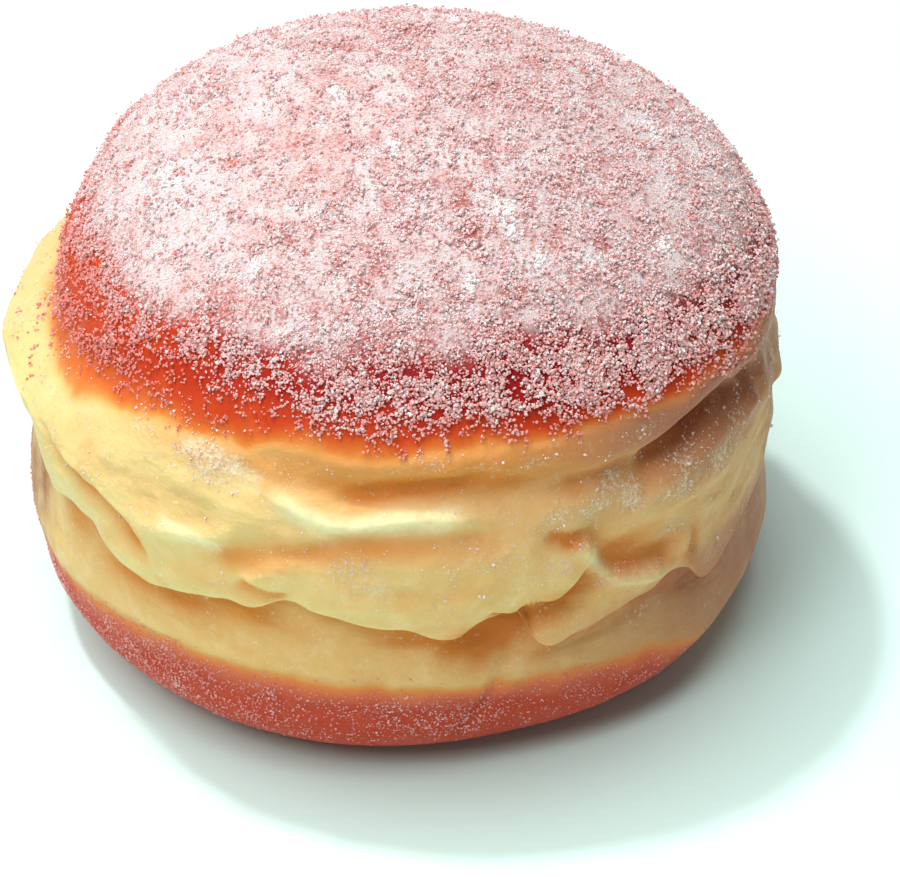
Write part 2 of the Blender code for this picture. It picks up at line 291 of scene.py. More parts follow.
# %% The folds of this doughnut
# a small lip: path, (out above, in below), (reach above, reach below), droop
SMALL_LIPS = (
    (((-66, 37.5), (-57, 36.6), (-51, 35.9), (-47.6, 35.5), (-44, 34.4), (-41.7, 33), (-40, 31.2), (-38, 28.6)),
     (0.7, 1.3), (4.5, 2.6), 0.5),
    (((13, 28.6), (17, 28.2), (20.7, 28.1), (24, 28.7), (26.5, 30.8), (28.5, 33.8)),
     (0.7, 2.6), (3.6, 3.6), 0.7),
    (((23, 37.8), (26.6, 35.8), (28.6, 33.8), (30, 31.8), (32.6, 29.8), (36.2, 28.5), (40.5, 27.2), (47.5, 25.7)),
     (-1.4, -0.8), (5.0, 1.6), 0.0),
    (((-24, 33), (-20, 31.6), (-16, 31.4)), (0.5, 0.5), (2.5, 2.0), 0.3),
    (((118, 38), (124, 34.6), (130, 31), (138, 27)), (1.1, 1.2), (4.0, 2.6), 0.6),
    (((-128, 36.5), (-122, 33.6), (-116, 30.6), (-110, 28.6)), (0.8, 1.1), (4.0, 2.4), 0.6),
    (((150, 33), (158, 31.4), (168, 30.4), (184, 31.4)), (0.9, 1.0), (4.0, 2.4), 0.6),
    (((80, 33), (88, 31.4), (97, 31.8), (104, 33.4)), (0.6, 0.7), (3.0, 2.2), 0.4),
)
# a crease: path, depth (negative for a raised fold), half width
CREASES = (
    (((-34, 33.4), (-27, 34.6), (-21, 36.2), (-15, 37.4), (-8, 38.4), (-1, 38.9), (8, 38.6), (18, 38.4)), 1.0, 1.7),
    (((-42, 34.4), (-36, 35.8), (-31, 36.6), (-25, 36.9)), -0.6, 1.2),
    (((-26, 44.2), (-20, 42.7), (-16, 42), (-11, 41.3), (-6, 41.7), (0, 42.1), (8, 41.7), (14, 41)), -1.1, 1.0),
    (((-13, 43.2), (-9, 43.4), (-4, 43.9), (1, 44.6), (6, 45.2), (10, 45.4), (14, 44.4)), 0.7, 1.1),
    (((-44, 37.6), (-38, 37), (-33, 37.6), (-28, 38.8)), 0.35, 1.1),
    (((24, 37.4), (26.6, 35.6), (28.8, 33.4), (30.4, 31.2), (33, 29.3), (36.5, 28), (41, 26.8), (47, 25.3)), -0.8, 0.65),
    (((29, 36.4), (31, 33.6), (34, 31.4), (38, 29.8)), 0.4, 0.9),
    (((46, 27.2), (50, 29.4), (55, 30.4), (62, 30.2)), -0.6, 1.3),
    (((-56, 33.4), (-50, 32), (-44, 30.6)), -0.35, 1.3),
    (((-30, 31.4), (-24, 31), (-17, 30.2)), -0.3, 0.9),
    (((-10, 31.2), (-2, 29.8), (5, 29.6)), -0.3, 1.0),
    (((14, 42.8), (18, 41.8), (22, 39.6), (25, 37)), -0.35, 0.8),
    (((20, 38.2), (23, 37), (26.5, 36)), 0.8, 0.9),
    (((22, 42.4), (29, 42.7), (38, 42.0)), 0.6, 1.3),
    (((34, 40.4), (38, 40.7), (42, 41.6), (47, 41.4), (52, 41.6), (58, 40.8), (66, 39.8), (74, 37)), 1.8, 1.7),
    (((33, 34), (37, 31), (42, 28.8), (48, 27.6)), 0.3, 1.6),
    (((49.5, 31), (50.5, 28), (51.2, 25), (51.6, 23)), 0.8, 0.9),
    (((33, 37), (42, 36), (52, 35), (62, 34.2)), -0.7, 1.7),
    (((62, 44), (66, 40), (70, 36.4)), -0.9, 1.1),
    (((67, 43.6), (71, 39), (74, 35)), 0.9, 1.2),
    (((40, 39.6), (44, 37.6), (50, 38.6)), -0.6, 1.2),
    (((-3, 33.4), (4, 32.4), (12, 32.6)), 0.35, 1.1),
    (((-14, 33.8), (-8, 32.6), (0, 31), (6, 30.6)), -0.3, 1.0),
    (((-62, 40), (-50, 39.2), (-38, 39.4), (-28, 40.2)), 0.35, 1.6),
    (((98, 34), (112, 35.6), (128, 33.2), (142, 34.6)), 1.2, 1.8),
    (((100, 29), (112, 30.4), (122, 29)), 0.7, 1.3),
    (((-178, 35.5), (-160, 33.6), (-146, 35.2), (-132, 33.0)), 1.1, 1.9),
    (((-150, 39.4), (-136, 38), (-120, 38.8), (-106, 38)), 0.5, 1.4),
    (((150, 38), (166, 36.6), (180, 37.8)), 0.8, 1.6),
    (((-100, 33), (-90, 31.6), (-80, 32.4), (-72, 31.4)), 0.4, 1.4),
)
BASE_CREASES = (
    (((9, 6), (12.7, 10.4), (15, 13), (17, 16.4), (18.8, 19.4), (21, 21.4)), 0.8, 0.7),
    (((-38, 20.6), (-30, 21.6), (-22, 20.2)), 0.3, 1.3),
    (((-8, 20), (-2, 18.4), (6, 18.8)), 0.3, 1.2),
    (((28, 18), (36, 19.4), (44, 18.6)), 0.35, 1.2),
)

out = np.zeros_like(radius)
down = np.zeros_like(radius)
tuck_shade = np.zeros_like(radius)
for path, (stand_out, draw_in), (reach_up, reach_down), droop in SMALL_LIPS:
    offset, fade = path_offsets(path)
    above = smooth_step(-STEP_SOFTNESS, STEP_SOFTNESS, offset) * fade
    below = (1.0 - smooth_step(-STEP_SOFTNESS, STEP_SOFTNESS, offset)) * fade
    out += stand_out * above * np.exp(-((offset / reach_up) ** 2))
    out -= draw_in * below * np.exp(-((offset / reach_down) ** 2))
    down += droop * above * np.exp(-((offset / 1.3) ** 2))
    # painted shade in the tuck below each small lip
    shade_reach = np.where(draw_in > 0, -offset, offset)
    tuck_shade = np.maximum(tuck_shade, fade * smooth_step(-0.5, 0.4, shade_reach) * np.exp(-((shade_reach / reach_down) ** 2)))
for path, depth, half_width in CREASES:
    offset, fade = path_offsets(path)
    out -= depth * np.exp(-((offset / half_width) ** 2)) * fade
    # painted shade along each crease, darker the deeper it is
    tuck_shade = np.maximum(tuck_shade, 0.55 * min(max(depth, 0.0), 1.0) * np.exp(-((offset / half_width) ** 2)) * fade)
out, down, tuck_shade = out * waist, down * waist, tuck_shade * waist
# painted shadow on the band just below the main lip's edge, wider where the lip hangs further out
hang = around(column_angle, LIP_OVERHANG)
painted_lip_shadow = lip_edge(column_angle) - 0.9 * hang - height
painted_lip_shadow = np.exp(-(np.maximum(painted_lip_shadow, 0.0) / 2.2) ** 1.3) * np.clip(hang / 2.2, 0, 1)
painted_lip_shadow = painted_lip_shadow * (np.arange(ROWS)[:, None] < LIP_ROW)
tuck_shade = np.maximum(tuck_shade, painted_lip_shadow)
for path, depth, half_width in BASE_CREASES:
    offset, fade = path_offsets(path)
    out -= depth * np.exp(-((offset / half_width) ** 2)) * fade * (1.0 - waist) * (np.arange(ROWS)[:, None] < LIP_ROW - 8)
print(f"folds move the skin from {out.min():.1f} to {out.max():.1f} mm")

# %% [markdown]
# Between the folds the dough is still not smooth. Small puckers run mostly round the doughnut, and the crust has a
# faint orange-peel. Smooth random values on a grid that wraps round the side give both, at any size wanted.

# %% Puckers
dice = np.random.default_rng(11)


def wrapped_noise(cell_angle, cell_height, seed):
    """Smooth noise from -1 to 1 over (angle, height), with cells of that many degrees by that many millimetres."""
    grid = np.random.default_rng(seed).uniform(-1, 1, (int(70 / cell_height) + 4, round(360 / cell_angle)))
    across = (angle + 180.0) / 360.0 * grid.shape[1]
    up = np.clip(height, 0, 69) / cell_height + 1
    x0, y0 = np.floor(across).astype(int), np.floor(up).astype(int)
    fx, fy = across - x0, up - y0
    fx, fy = fx * fx * (3 - 2 * fx), fy * fy * (3 - 2 * fy)
    wide = grid.shape[1]
    low = grid[y0, x0 % wide] * (1 - fx) + grid[y0, (x0 + 1) % wide] * fx
    high = grid[y0 + 1, x0 % wide] * (1 - fx) + grid[y0 + 1, (x0 + 1) % wide] * fx
    return low * (1 - fy) + high * fy


side_rows = smooth_step(2.0, 8.0, height) * (1.0 - smooth_step(46.0, 52.0, height))
waist_rows = smooth_step(20.0, 26.0, height) * side_rows
out += (0.14 + 0.10 * waist_rows) * wrapped_noise(9, 4.0, 1) * side_rows
out += (0.08 + 0.10 * waist_rows) * wrapped_noise(4.5, 1.8, 2) * side_rows
out += (0.04 + 0.07 * waist_rows) * wrapped_noise(2.0, 1.0, 3) * side_rows
out += (0.02 + 0.03 * waist_rows) * wrapped_noise(1.2, 0.6, 5) * side_rows
out += 0.10 * wrapped_noise(12, 7.0, 4) * smooth_step(46.0, 52.0, height) * smooth_step(4.0, 16.0, radius)

# %% [markdown]
# ## From rows and columns to a mesh
#
# Blender's spin turns one column of points round the upright axis, and merging the two ends closes it. The spin
# only ties the points into faces. Afterwards every point moves to its own place, found by its row (kept in a layer
# while spinning) and by its angle.

# %% Spin the skin
def spun_column(name, rows, columns):
    work = bmesh.new()
    row_layer = work.verts.layers.int.new("row")
    column = []
    for row in range(rows):
        rise = math.pi * row / (rows - 1)
        point = work.verts.new((0.0, -math.sin(rise) if 0 < row < rows - 1 else 0.0, -math.cos(rise)))
        point[row_layer] = row
        column.append(point)
    edges = [work.edges.new(pair) for pair in zip(column, column[1:])]
    bmesh.ops.spin(
        work, geom=column + edges, cent=(0, 0, 0), axis=(0, 0, 1), angle=math.tau, steps=columns, use_merge=True
    )
    bmesh.ops.remove_doubles(work, verts=work.verts, dist=1e-6)
    bmesh.ops.recalc_face_normals(work, faces=work.faces)
    mesh = bpy.data.meshes.new(name)
    work.to_mesh(mesh)
    work.free()
    return mesh


dough_mesh = spun_column("dough", ROWS, COLUMNS)
points = np.empty(len(dough_mesh.vertices) * 3)
dough_mesh.vertices.foreach_get("co", points)
points = points.reshape(-1, 3)
point_row = np.empty(len(points), int)
dough_mesh.attributes["row"].data.foreach_get("value", point_row)
spun_turn = np.arctan2(points[:, 0], -points[:, 1])
point_column = np.rint((spun_turn + math.pi) / math.tau * COLUMNS).astype(int) % COLUMNS
print(f"{len(points)} points, {len(dough_mesh.polygons)} faces")

# %% Put every point in its place
full_radius = np.maximum(radius + out * smooth_step(0.0, 20.0, radius), 0.0)
full_height = height - down
lean = DOME_SHIFT * smooth_step(SHIFT_FROM, SHIFT_TO, full_height)
place = np.stack(
    [
        full_radius * np.sin(np.radians(angle)) + lean,
        -full_radius * np.cos(np.radians(angle)),
        full_height,
    ],
    axis=-1,
)
for _ in range(2):  # a light rounding of single steps, down the rows and across the columns
    softer = place.copy()
    softer[1:-1] = place[1:-1] * 0.5 + (place[2:] + place[:-2]) * 0.25
    softer = softer * 0.5 + (np.roll(softer, 1, axis=1) + np.roll(softer, -1, axis=1)) * 0.25
    softer[:ROWS_UNDERSIDE] = place[:ROWS_UNDERSIDE]
    softer[-1] = place[-1]
    place = softer
skin_low, skin_high = place.reshape(-1, 3).min(axis=0), place.reshape(-1, 3).max(axis=0)
cad_middle = np.array(((box_low + box_high) / 2)[:]) / MM
place -= np.array([*((skin_low + skin_high) / 2 - cad_middle)[:2], 0.0])

points = place[point_row, point_column] * MM
dough_mesh.vertices.foreach_set("co", points.ravel())
dough_mesh.update()
dough_mesh.shade_smooth()
dough = bpy.data.objects.new("dough", dough_mesh)
bpy.context.scene.collection.objects.link(dough)
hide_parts(NODE)
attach(dough, "root")
print(f"the skin is {(skin_high - skin_low).round(1)} mm")

# %% [markdown]
# ## Where it browned
#
# Colour follows the shape, so it is kept on the skin as attributes that the material reads:
#
# - `brown`: from 0, pale dough, to 1, dark crust. The dome and the base browned in the oil.
# - `base`: 1 on the lower crust, which lay on the paper and is duller and redder.
# - `crease_shade`: painted shade, golden orange, stronger the deeper a point sits in a fold, a tuck or under a lip.
# - `butter_and_light`: how yellow the pale dough is. The side that bulges most is yolk yellow, the flatter side is tan;
#   this is partly the dough's own colour and partly painted light, with the lit left side and the crests painted
#   yellower and the folds less so.
# - `dust`: how much sugar fell and stuck.
# - `frost`: where fine sugar and flour caught on the waist.
# - `dry_skin_and_shade`: where the side is dry and brown, and painted shade in the dark hollow on the right.
# - `highlight_line`: painted highlights along the edges of the folds, partly flour and sugar.

# %% Browning and dust as attributes
CRUST_BORDER = (
    (-175, 47), (-150, 45), (-120, 42.5), (-92, 42.0), (-74, 41.6), (-60, 43.6), (-48, 46.0), (-32, 48.4),
    (-15, 49.7), (8, 50.2), (30, 49.8), (54, 48.6), (75, 47), (110, 45.5), (150, 47.5),
)
BASE_BORDER = (
    (-170, 15), (-140, 17), (-112, 24), (-96, 20.5), (-84, 15.0), (-72, 12.4), (-60, 13.2), (-49, 14.3), (-36, 15.6), (-23, 15.4),
    (-5, 15.7), (20, 14.4), (34, 13.4), (46, 11.8), (56, 8.5), (68, 5.0), (85, 5.0), (100, 10), (115, 14), (150, 14),
)
ragged = 0.45 * wrapped_noise(9, 4, 21) + 0.45 * wrapped_noise(3.4, 2, 22) + 0.2 * wrapped_noise(1.5, 1.0, 23)
above_border = height - around(angle, CRUST_BORDER) + ragged
# how dark the crust browns round the doughnut, paler orange on the left; the darkest crimson on the right is partly
# painted shade, on the side turned away from the light
DARKEST_WITH_SIDE_SHADE = ((-180, 0.85), (-130, 0.75), (-95, 0.62), (-70, 0.56), (-50, 0.64), (-30, 0.8), (0, 0.92), (40, 0.98), (80, 1.0), (140, 0.95))
crust = (0.72 * smooth_step(-2.8, 1.8, above_border) + 0.28 * smooth_step(1.0, 5.0, above_border)) * around(angle, DARKEST_WITH_SIDE_SHADE)
below_border = around(angle, BASE_BORDER, blend=4) - height + 0.7 * ragged
base_crust = smooth_step(-2.6, 3.4, below_border)
is_band = (np.arange(ROWS)[:, None] < LIP_ROW - 4).astype(float) * np.ones(COLUMNS)
base_crust = base_crust * is_band
# painted shade: the right side, turned away from the light, and the back are painted a darker grey brown, less on the
# lit flap
SIDE_SHADE = (
    (-180, 0.3), (-120, 0.3), (-80, 0.05), (-30, 0.05), (10, 0.14), (30, 0.38), (50, 0.8), (66, 1.0), (78, 1.0), (100, 0.8),
    (140, 0.4),
)
# painted shade: the band under the crust faces down and is painted darker, tan on the right
shaded_upper_band = smooth_step(42.6, 45.4, height) * (1.0 - crust) * around(angle, ((-180, 0.3), (-60, 0.0), (-40, 0.1), (-20, 0.4), (10, 0.5), (60, 0.6), (120, 0.5)))
flap = smooth_step(22.0, 27.0, height) * (1.0 - smooth_step(34.0, 39.0, height))
side_shade = around(angle, SIDE_SHADE) * (1.0 - 0.6 * flap)
side_shade = side_shade + 0.9 * shaded_upper_band * smooth_step(12.0, 40.0, angle)


def softened(values, half_rows, half_columns, times=3):
    """The values averaged over a patch of the skin, a few times over, which is close to a round blur."""
    for _ in range(times):
        lapped = np.pad(values, ((half_rows, half_rows), (0, 0)), mode="edge")
        values = np.mean([lapped[k : k + len(values)] for k in range(2 * half_rows + 1)], axis=0)
        values = np.mean([np.roll(values, k, axis=1) for k in range(-half_columns, half_columns + 1)], axis=0)
    return values


# painted golden shade in the deepest tucks: (angle, height, reach round, reach up), all but the angle in millimetres,
# and how much
PAINTED_GLOWS = (
    (15, 25.0, 3.2, 1.8, 0.6), (39.5, 29.2, 2.6, 1.4, 0.7), (43, 28.5, 2.4, 1.2, 0.6),
    (4, 23.4, 4.0, 1.5, 0.7), (43, 21.8, 5.5, 2.0, 0.9), (36, 21.0, 4.0, 1.6, 0.6), (55, 19.8, 4.0, 1.8, 0.5),
    (-48, 22.6, 6.0, 2.6, 0.8), (-36, 22.6, 6.0, 2.2, 0.75), (-22, 24.0, 6.0, 2.0, 0.6), (-60, 24.0, 4.0, 3.0, 0.6),
    (-14, 37.0, 5.0, 1.3, 0.35), (-6, 38.2, 5.0, 1.2, 0.35), (-24, 34.4, 4.0, 1.3, 0.4), (-28, 30.6, 5.0, 1.6, 0.3),
    (-8, 43.6, 4.0, 1.2, 0.5), (0, 44.8, 4.0, 1.2, 0.6), (8, 45.4, 4.0, 1.2, 0.6), (14, 44.2, 2.5, 1.2, 0.5),
    (37, 31.4, 4.5, 2.2, 0.6), (44, 28.6, 3.0, 1.6, 0.5), (22.5, 37.2, 1.6, 1.0, 0.8), (50, 26.0, 1.6, 2.2, 0.6),
    (-55, 25.6, 3.0, 2.2, 0.5), (-42, 32.4, 1.6, 1.6, 0.5), (-52, 34.6, 4.0, 0.9, 0.4), (30, 42.4, 5.0, 1.0, 0.4),
)
# painted golden shade along lines: path, (reach above, reach below) in millimetres, and how much
PAINTED_GLOW_LINES = (
    (((4, 23.4), (9, 23.6), (13, 24.0), (17, 24.4), (21, 26.8), (25, 27.8), (28, 29.4)), (2.6, 2.6), 1.0),
    (((38, 20.4), (43, 21.4), (48, 21.2), (51.5, 18.4)), (2.6, 1.9), 1.0),
    (((-10, 43.2), (-5, 43.7), (0, 44.4), (6, 45.0), (11, 44.6)), (1.2, 0.7), 0.8),
    (((22.5, 36.8), (24.6, 36.2), (26.5, 36.4)), (0.9, 0.9), 0.9),
)
# painted shade, dark amber, in the deepest tucks between the folds, written the same way
POCKET_SHADE = (
    (22.5, 26.6, 2.0, 1.0, 0.6), (25.5, 27.6, 2.0, 1.0, 0.5), (28.8, 28.2, 2.4, 1.2, 0.6), (32.7, 28.5, 2.4, 1.1, 0.6),
    (49.5, 19.9, 2.2, 1.4, 0.8), (52.5, 19.4, 1.6, 1.4, 0.8), (46.5, 21.2, 2.2, 1.1, 0.5), (24.6, 35.9, 1.4, 0.7, 0.7),
    (43, 28.6, 2.4, 0.8, 0.5), (-45, 23.4, 5.0, 1.4, 0.4), (-33, 23.2, 5.0, 1.3, 0.4), (2, 22.8, 3.0, 0.9, 0.4),
    (50.4, 26.3, 0.9, 2.2, 0.5), (25, 18.2, 2.4, 1.0, 0.5),
)
# painted shade, dark amber, in the pocket just under the lip's tip
POCKET_SHADE_UNDER_LIP = ((10, 22.4, 2.2, 2.8, 1.1), (13.5, 22.8, 2.8, 4.0, 1.5), (17, 23.2, 2.6, 3.8, 1.4), (19.5, 24.0, 1.6, 3.0, 1.0))
# fine sugar and dry flour caught on the waist, written the same way
FROST = (
    (-35, 45.3, 3.0, 1.3, 1.0), (-32, 45.0, 3.0, 1.6, 1.0), (-29, 44.8, 3.0, 1.2, 0.9), (-32.5, 43.6, 3.0, 1.2, 0.8),
    (-45.5, 45.0, 2.0, 1.0, 0.6), (-39, 47.6, 2.6, 1.2, 0.8), (-80, 45.5, 3.5, 3.0, 0.6), (-88, 43.0, 3.0, 4.0, 0.6),
    (-70, 43.0, 3.5, 2.0, 0.5), (2, 48.2, 3.0, 1.2, 0.4), (10, 46.9, 3.6, 1.4, 0.4), (18, 47.0, 3.0, 1.3, 0.4),
    (37, 46.1, 3.4, 1.4, 0.4), (28.5, 39.4, 2.6, 1.2, 0.7), (32, 40.9, 2.2, 1.2, 0.8), (21.7, 39.9, 2.4, 1.0, 0.7),
    (35, 38.6, 1.8, 2.0, 0.9), (43.5, 37.3, 3.4, 1.2, 0.7), (46.8, 39.2, 2.4, 1.2, 0.7), (55, 36.5, 3.4, 1.6, 0.8),
    (60, 37.6, 3.0, 2.0, 0.5), (46, 30.7, 3.0, 1.3, 0.4), (-8, 35.5, 3.0, 1.4, 0.6), (-5, 33.6, 3.0, 1.4, 0.5),
    (12, 36.0, 6.0, 1.8, 0.35), (22, 33.6, 4.0, 1.6, 0.35), (100, 40, 6.0, 3.0, 0.7),
    (130, 36, 6.0, 3.0, 0.7), (165, 42, 6.0, 3.0, 0.7), (-150, 43, 6.0, 3.0, 0.7), (-115, 41, 6.0, 3.0, 0.7),
)
# dry brown skin in the strip that hides behind the lip's left end; painted shade in the dark hollow and over the far
# right
DRY_SKIN_AND_SHADE = (
    (-76, 22.0, 3.2, 6.0, 1.0), (-82, 19.0, 4.0, 7.0, 1.0), (-90, 18.0, 7.0, 8.0, 1.0), (-100, 20.0, 7.0, 6.0, 0.5),
    (-88, 45.4, 1.2, 3.0, 0.6), (45, 45.6, 3.0, 1.4, 0.3), (47.3, 40.7, 2.4, 1.3, 0.5), (50.8, 41.3, 2.6, 1.4, 0.8),
    (54.7, 41.6, 2.8, 1.5, 0.95), (58.6, 41.3, 3.0, 1.5, 1.0), (62.8, 40.6, 3.0, 1.7, 1.0), (66.4, 39.5, 3.0, 1.9, 1.0),
    (69.3, 38.7, 3.0, 2.2, 0.9), (76, 37.4, 4.0, 4.0, 0.7), (80, 33.0, 4.0, 9.0, 0.9), (90, 33.0, 6.0, 9.0, 0.9), (57, 39.6, 6.0, 2.4, 0.6), (66, 37.0, 4.0, 3.0, 0.6), (44.4, 39.6, 3.0, 1.6, 0.35),
    (50, 38.2, 4.5, 1.6, 0.35), (59, 37.0, 4.5, 2.0, 0.4), (56, 17.0, 4.0, 3.0, 0.3), (66, 16.0, 6.0, 4.0, 0.4), (78, 18.0, 5.0, 6.0, 0.6),
)
# narrow pale lines along the edges of folds, mostly painted highlight, partly flour and sugar: path, (reach above,
# reach below) in mm, how much
HIGHLIGHT_LINES = (
    (((-23, 44.2), (-19, 42.8), (-16.9, 42.2), (-14.5, 41.7), (-12.1, 41.3), (-7.8, 41.6), (-3.4, 42.0), (1, 42.1),
      (5.6, 42.3), (9.5, 42.6)), (0.5, 1.9), 1.0),
    (((-39, 37.0), (-35.4, 36.7), (-32.1, 36.5), (-29.3, 36.1), (-26.5, 35.2)), (0.5, 1.4), 0.8),
    (((25, 36.8), (26.6, 35.4), (29.1, 33.2), (31.3, 30.2), (34.7, 28.3), (39.3, 27.4), (46.4, 25.9)), (0.6, 1.0), 0.55),
    (((-30, 44.6), (-27, 44.2), (-23, 43.9)), (0.6, 1.2), 0.5),
)


def soft_places(places):
    """How strongly each point of the skin lies in one of the places."""
    strength = np.zeros_like(radius)
    for place_angle, place_height, reach_round, reach_up, amount in places:
        away = np.radians((angle - place_angle + 180) % 360 - 180) * SIDE_RADIUS
        near = np.exp(-((away / reach_round) ** 2) - ((height - place_height) / reach_up) ** 2)
        strength = np.maximum(strength, amount * near)
    return strength


def soft_lines(lines):
    """How strongly each point of the skin lies on one of the lines."""
    strength = np.zeros_like(radius)
    for path, (reach_above, reach_below), amount in lines:
        offset, fade = path_offsets(path)
        reach = np.where(offset > 0, reach_above, reach_below)
        strength = np.maximum(strength, amount * fade * np.exp(-((offset / reach) ** 2)))
    return strength


painted_glow = np.maximum(soft_places(PAINTED_GLOWS), soft_lines(PAINTED_GLOW_LINES))
frost, dry_skin_and_shade = soft_places(FROST), soft_places(DRY_SKIN_AND_SHADE)
pocket_shade = np.clip(soft_places(POCKET_SHADE) + soft_places(POCKET_SHADE_UNDER_LIP) * (np.arange(ROWS)[:, None] < LIP_ROW), 0.0, 1.0)
highlight_line = soft_lines(HIGHLIGHT_LINES)
hollow = softened(full_radius, 9, 6) - full_radius
# painted shade, golden, on the band just under the crust, which faces down
UPPER_SHADE_GOLD = ((-180, 0.5), (-60, 0.1), (-35, 0.5), (-15, 1.0), (30, 1.0), (70, 0.7), (120, 0.6))
upper_shade_gold = smooth_step(42.4, 45.4, height) * around(angle, UPPER_SHADE_GOLD)
side_only = smooth_step(12.0, 18.0, height) * (1.0 - smooth_step(46.0, 50.0, height))
# painted shade: fold depth, the tucks under the lips, the painted glows and the shaded band under the crust, all in one
# value
crease_shade = np.clip(0.45 * smooth_step(0.2, 1.4, hollow) * side_only + 0.8 * tuck_shade * side_only + painted_glow + 0.75 * upper_shade_gold, 0.0, 1.0)
# painted highlight: points that stand out of their surroundings are painted paler and yellower
crest_highlight = smooth_step(0.05, 0.7, -hollow) * side_only
print(f"hollows reach {hollow.max():.2f} mm and crests {-hollow.min():.2f} mm")

# partly the dough's own colour, partly painted light: the left side, which faces the light, is painted yellower
lit_side_yellow = around(angle, ((-180, 0.35), (-130, 0.7), (-100, 1.0), (-55, 1.0), (-25, 0.75), (5, 0.45), (30, 0.2), (60, 0.05), (120, 0.1)))
lower_band = 1.0 - smooth_step(20.0, 27.0, height)
butter_and_light = np.clip(lit_side_yellow * (1.0 - 0.55 * lower_band) + 0.25 * crest_highlight - 0.3 * crease_shade, 0.0, 1.0)

SUGAR_FROM = (
    (-100, 49.5), (-88, 50.0), (-76, 50.8), (-61, 51.2), (-45, 50.8), (-32, 50.2), (-15, 49.9), (1, 49.9), (17, 49.9),
    (35, 49.0), (55, 47.4), (73, 45.8), (100, 45.5), (140, 46.5), (180, 48.5),
)
SUGAR_FULL = (
    (-100, 54.5), (-76, 56), (-52, 57.4), (-37, 58.4), (-12, 61), (11, 62), (36, 60.4), (61, 58.6), (84, 56),
    (110, 54), (150, 55), (180, 56),
)
# on top: where the crust shows through the sugar and where the sugar lies packed, seen from above, as (millimetres to
# the right, millimetres to the front, reach across, reach in depth, and how much)
BALD = (
    (4.7, 15.0, 1.0, 2.0, 1.0), (5.4, 19.5, 1.3, 2.2, 1.0), (-4.3, 23.2, 0.9, 1.6, 0.9), (-5.8, 26.0, 0.9, 1.6, 0.9),
    (-8.8, 23.6, 0.8, 1.6, 0.8), (4.0, 27.6, 1.6, 1.2, 0.7), (-7.9, 5.4, 2.0, 1.2, 0.35), (1.0, 12.9, 2.0, 1.0, 0.6),
    (-18.2, 0.0, 1.4, 1.4, 0.4), (8.8, -5.0, 1.8, 1.4, 0.8), (-22.6, 24.4, 2.0, 1.6, 0.7), (-12.4, 10.5, 2.4, 1.0, 0.5),
    (-9.7, 13.6, 2.2, 0.9, 0.4), (-13.9, -17.8, 3.0, 2.4, 0.8), (-9.5, -15.5, 2.6, 2.2, 0.8), (-1.5, -18.7, 2.8, 2.2, 0.9),
    (-20.6, 6.0, 1.6, 1.4, 0.6), (18.9, -14.0, 1.6, 1.4, 0.4), (19.8, 18.1, 2.4, 1.2, 0.6), (25.0, 13.4, 2.0, 1.2, 0.5),
    (-6.0, -10.0, 3.0, 1.8, 0.3), (11.5, 26.0, 2.0, 1.4, 0.5), (-1.5, 18.8, 1.6, 1.0, 0.5), (-16.0, 19.0, 1.6, 1.0, 0.5),
)
PACKED = (
    (-8.7, -2.9, 1.6, 1.4, 1.0), (-5.4, -7.7, 1.8, 1.6, 0.7), (-26.8, 5.6, 3.2, 4.4, 0.9), (9.2, 15.7, 1.0, 2.0, 1.0),
    (25.7, -3.8, 1.8, 2.4, 1.0), (12.9, 22.0, 1.6, 1.2, 0.8), (-12.4, 15.2, 1.4, 1.2, 0.8), (4.5, 9.1, 1.8, 0.9, 0.9),
    (-2.8, -2.5, 2.2, 1.4, 0.8), (18.2, 19.8, 1.4, 1.2, 0.8), (5.0, 23.4, 1.4, 1.0, 0.7), (11.8, 28.5, 1.6, 1.2, 0.7),
    (30.8, -4.2, 2.4, 3.6, 0.7), (0.6, 16.4, 1.6, 1.0, 0.5), (-28.0, -8.0, 5.0, 8.0, 0.7), (2.0, -26.0, 12.0, 3.0, 0.7),
    (-20.0, -20.0, 8.0, 7.0, 0.7), (22.0, -18.0, 7.0, 5.0, 0.5), (-14.0, 29.5, 1.6, 1.2, 0.6), (-22.0, 14.0, 2.0, 2.0, 0.4),
    (-17.4, -5.6, 5.0, 5.0, 0.6), (-26.0, 11.0, 5.0, 5.0, 0.6), (-30.0, 1.0, 4.0, 9.0, 0.6), (28.0, 6.0, 3.0, 5.0, 0.4),
)


def from_above(places):
    """How strongly each point of the skin lies in one of the places, judged from straight above."""
    right, front = radius * np.sin(np.radians(angle)), radius * np.cos(np.radians(angle))
    strength = np.zeros_like(radius)
    for place_right, place_front, reach_across, reach_deep, amount in places:
        near = np.exp(-(((right - place_right) / reach_across) ** 2) - ((front - place_front) / reach_deep) ** 2)
        strength = np.maximum(strength, amount * near)
    return strength


patchy = 1.1 * wrapped_noise(11, 5, 31) + 0.9 * wrapped_noise(5, 2.5, 32)
sugar_from, sugar_full = around(angle, SUGAR_FROM), around(angle, SUGAR_FULL)
dust = np.clip((height + patchy - sugar_from + 0.5) / (sugar_full - sugar_from), 0.0, 1.0)
dust = dust * dust * (3.0 - 2.0 * dust)
grains = smooth_step(-1.4, 3.2, height + patchy - sugar_from)
bald, packed = 0.75 * from_above(BALD) * dust, from_above(PACKED) * dust


def keep(name, values):
    """Keeps one value per point of the skin, as a float attribute."""
    layer = dough_mesh.attributes.new(name, "FLOAT", "POINT")
    layer.data.foreach_set("value", values[point_row, point_column].astype(np.float32))


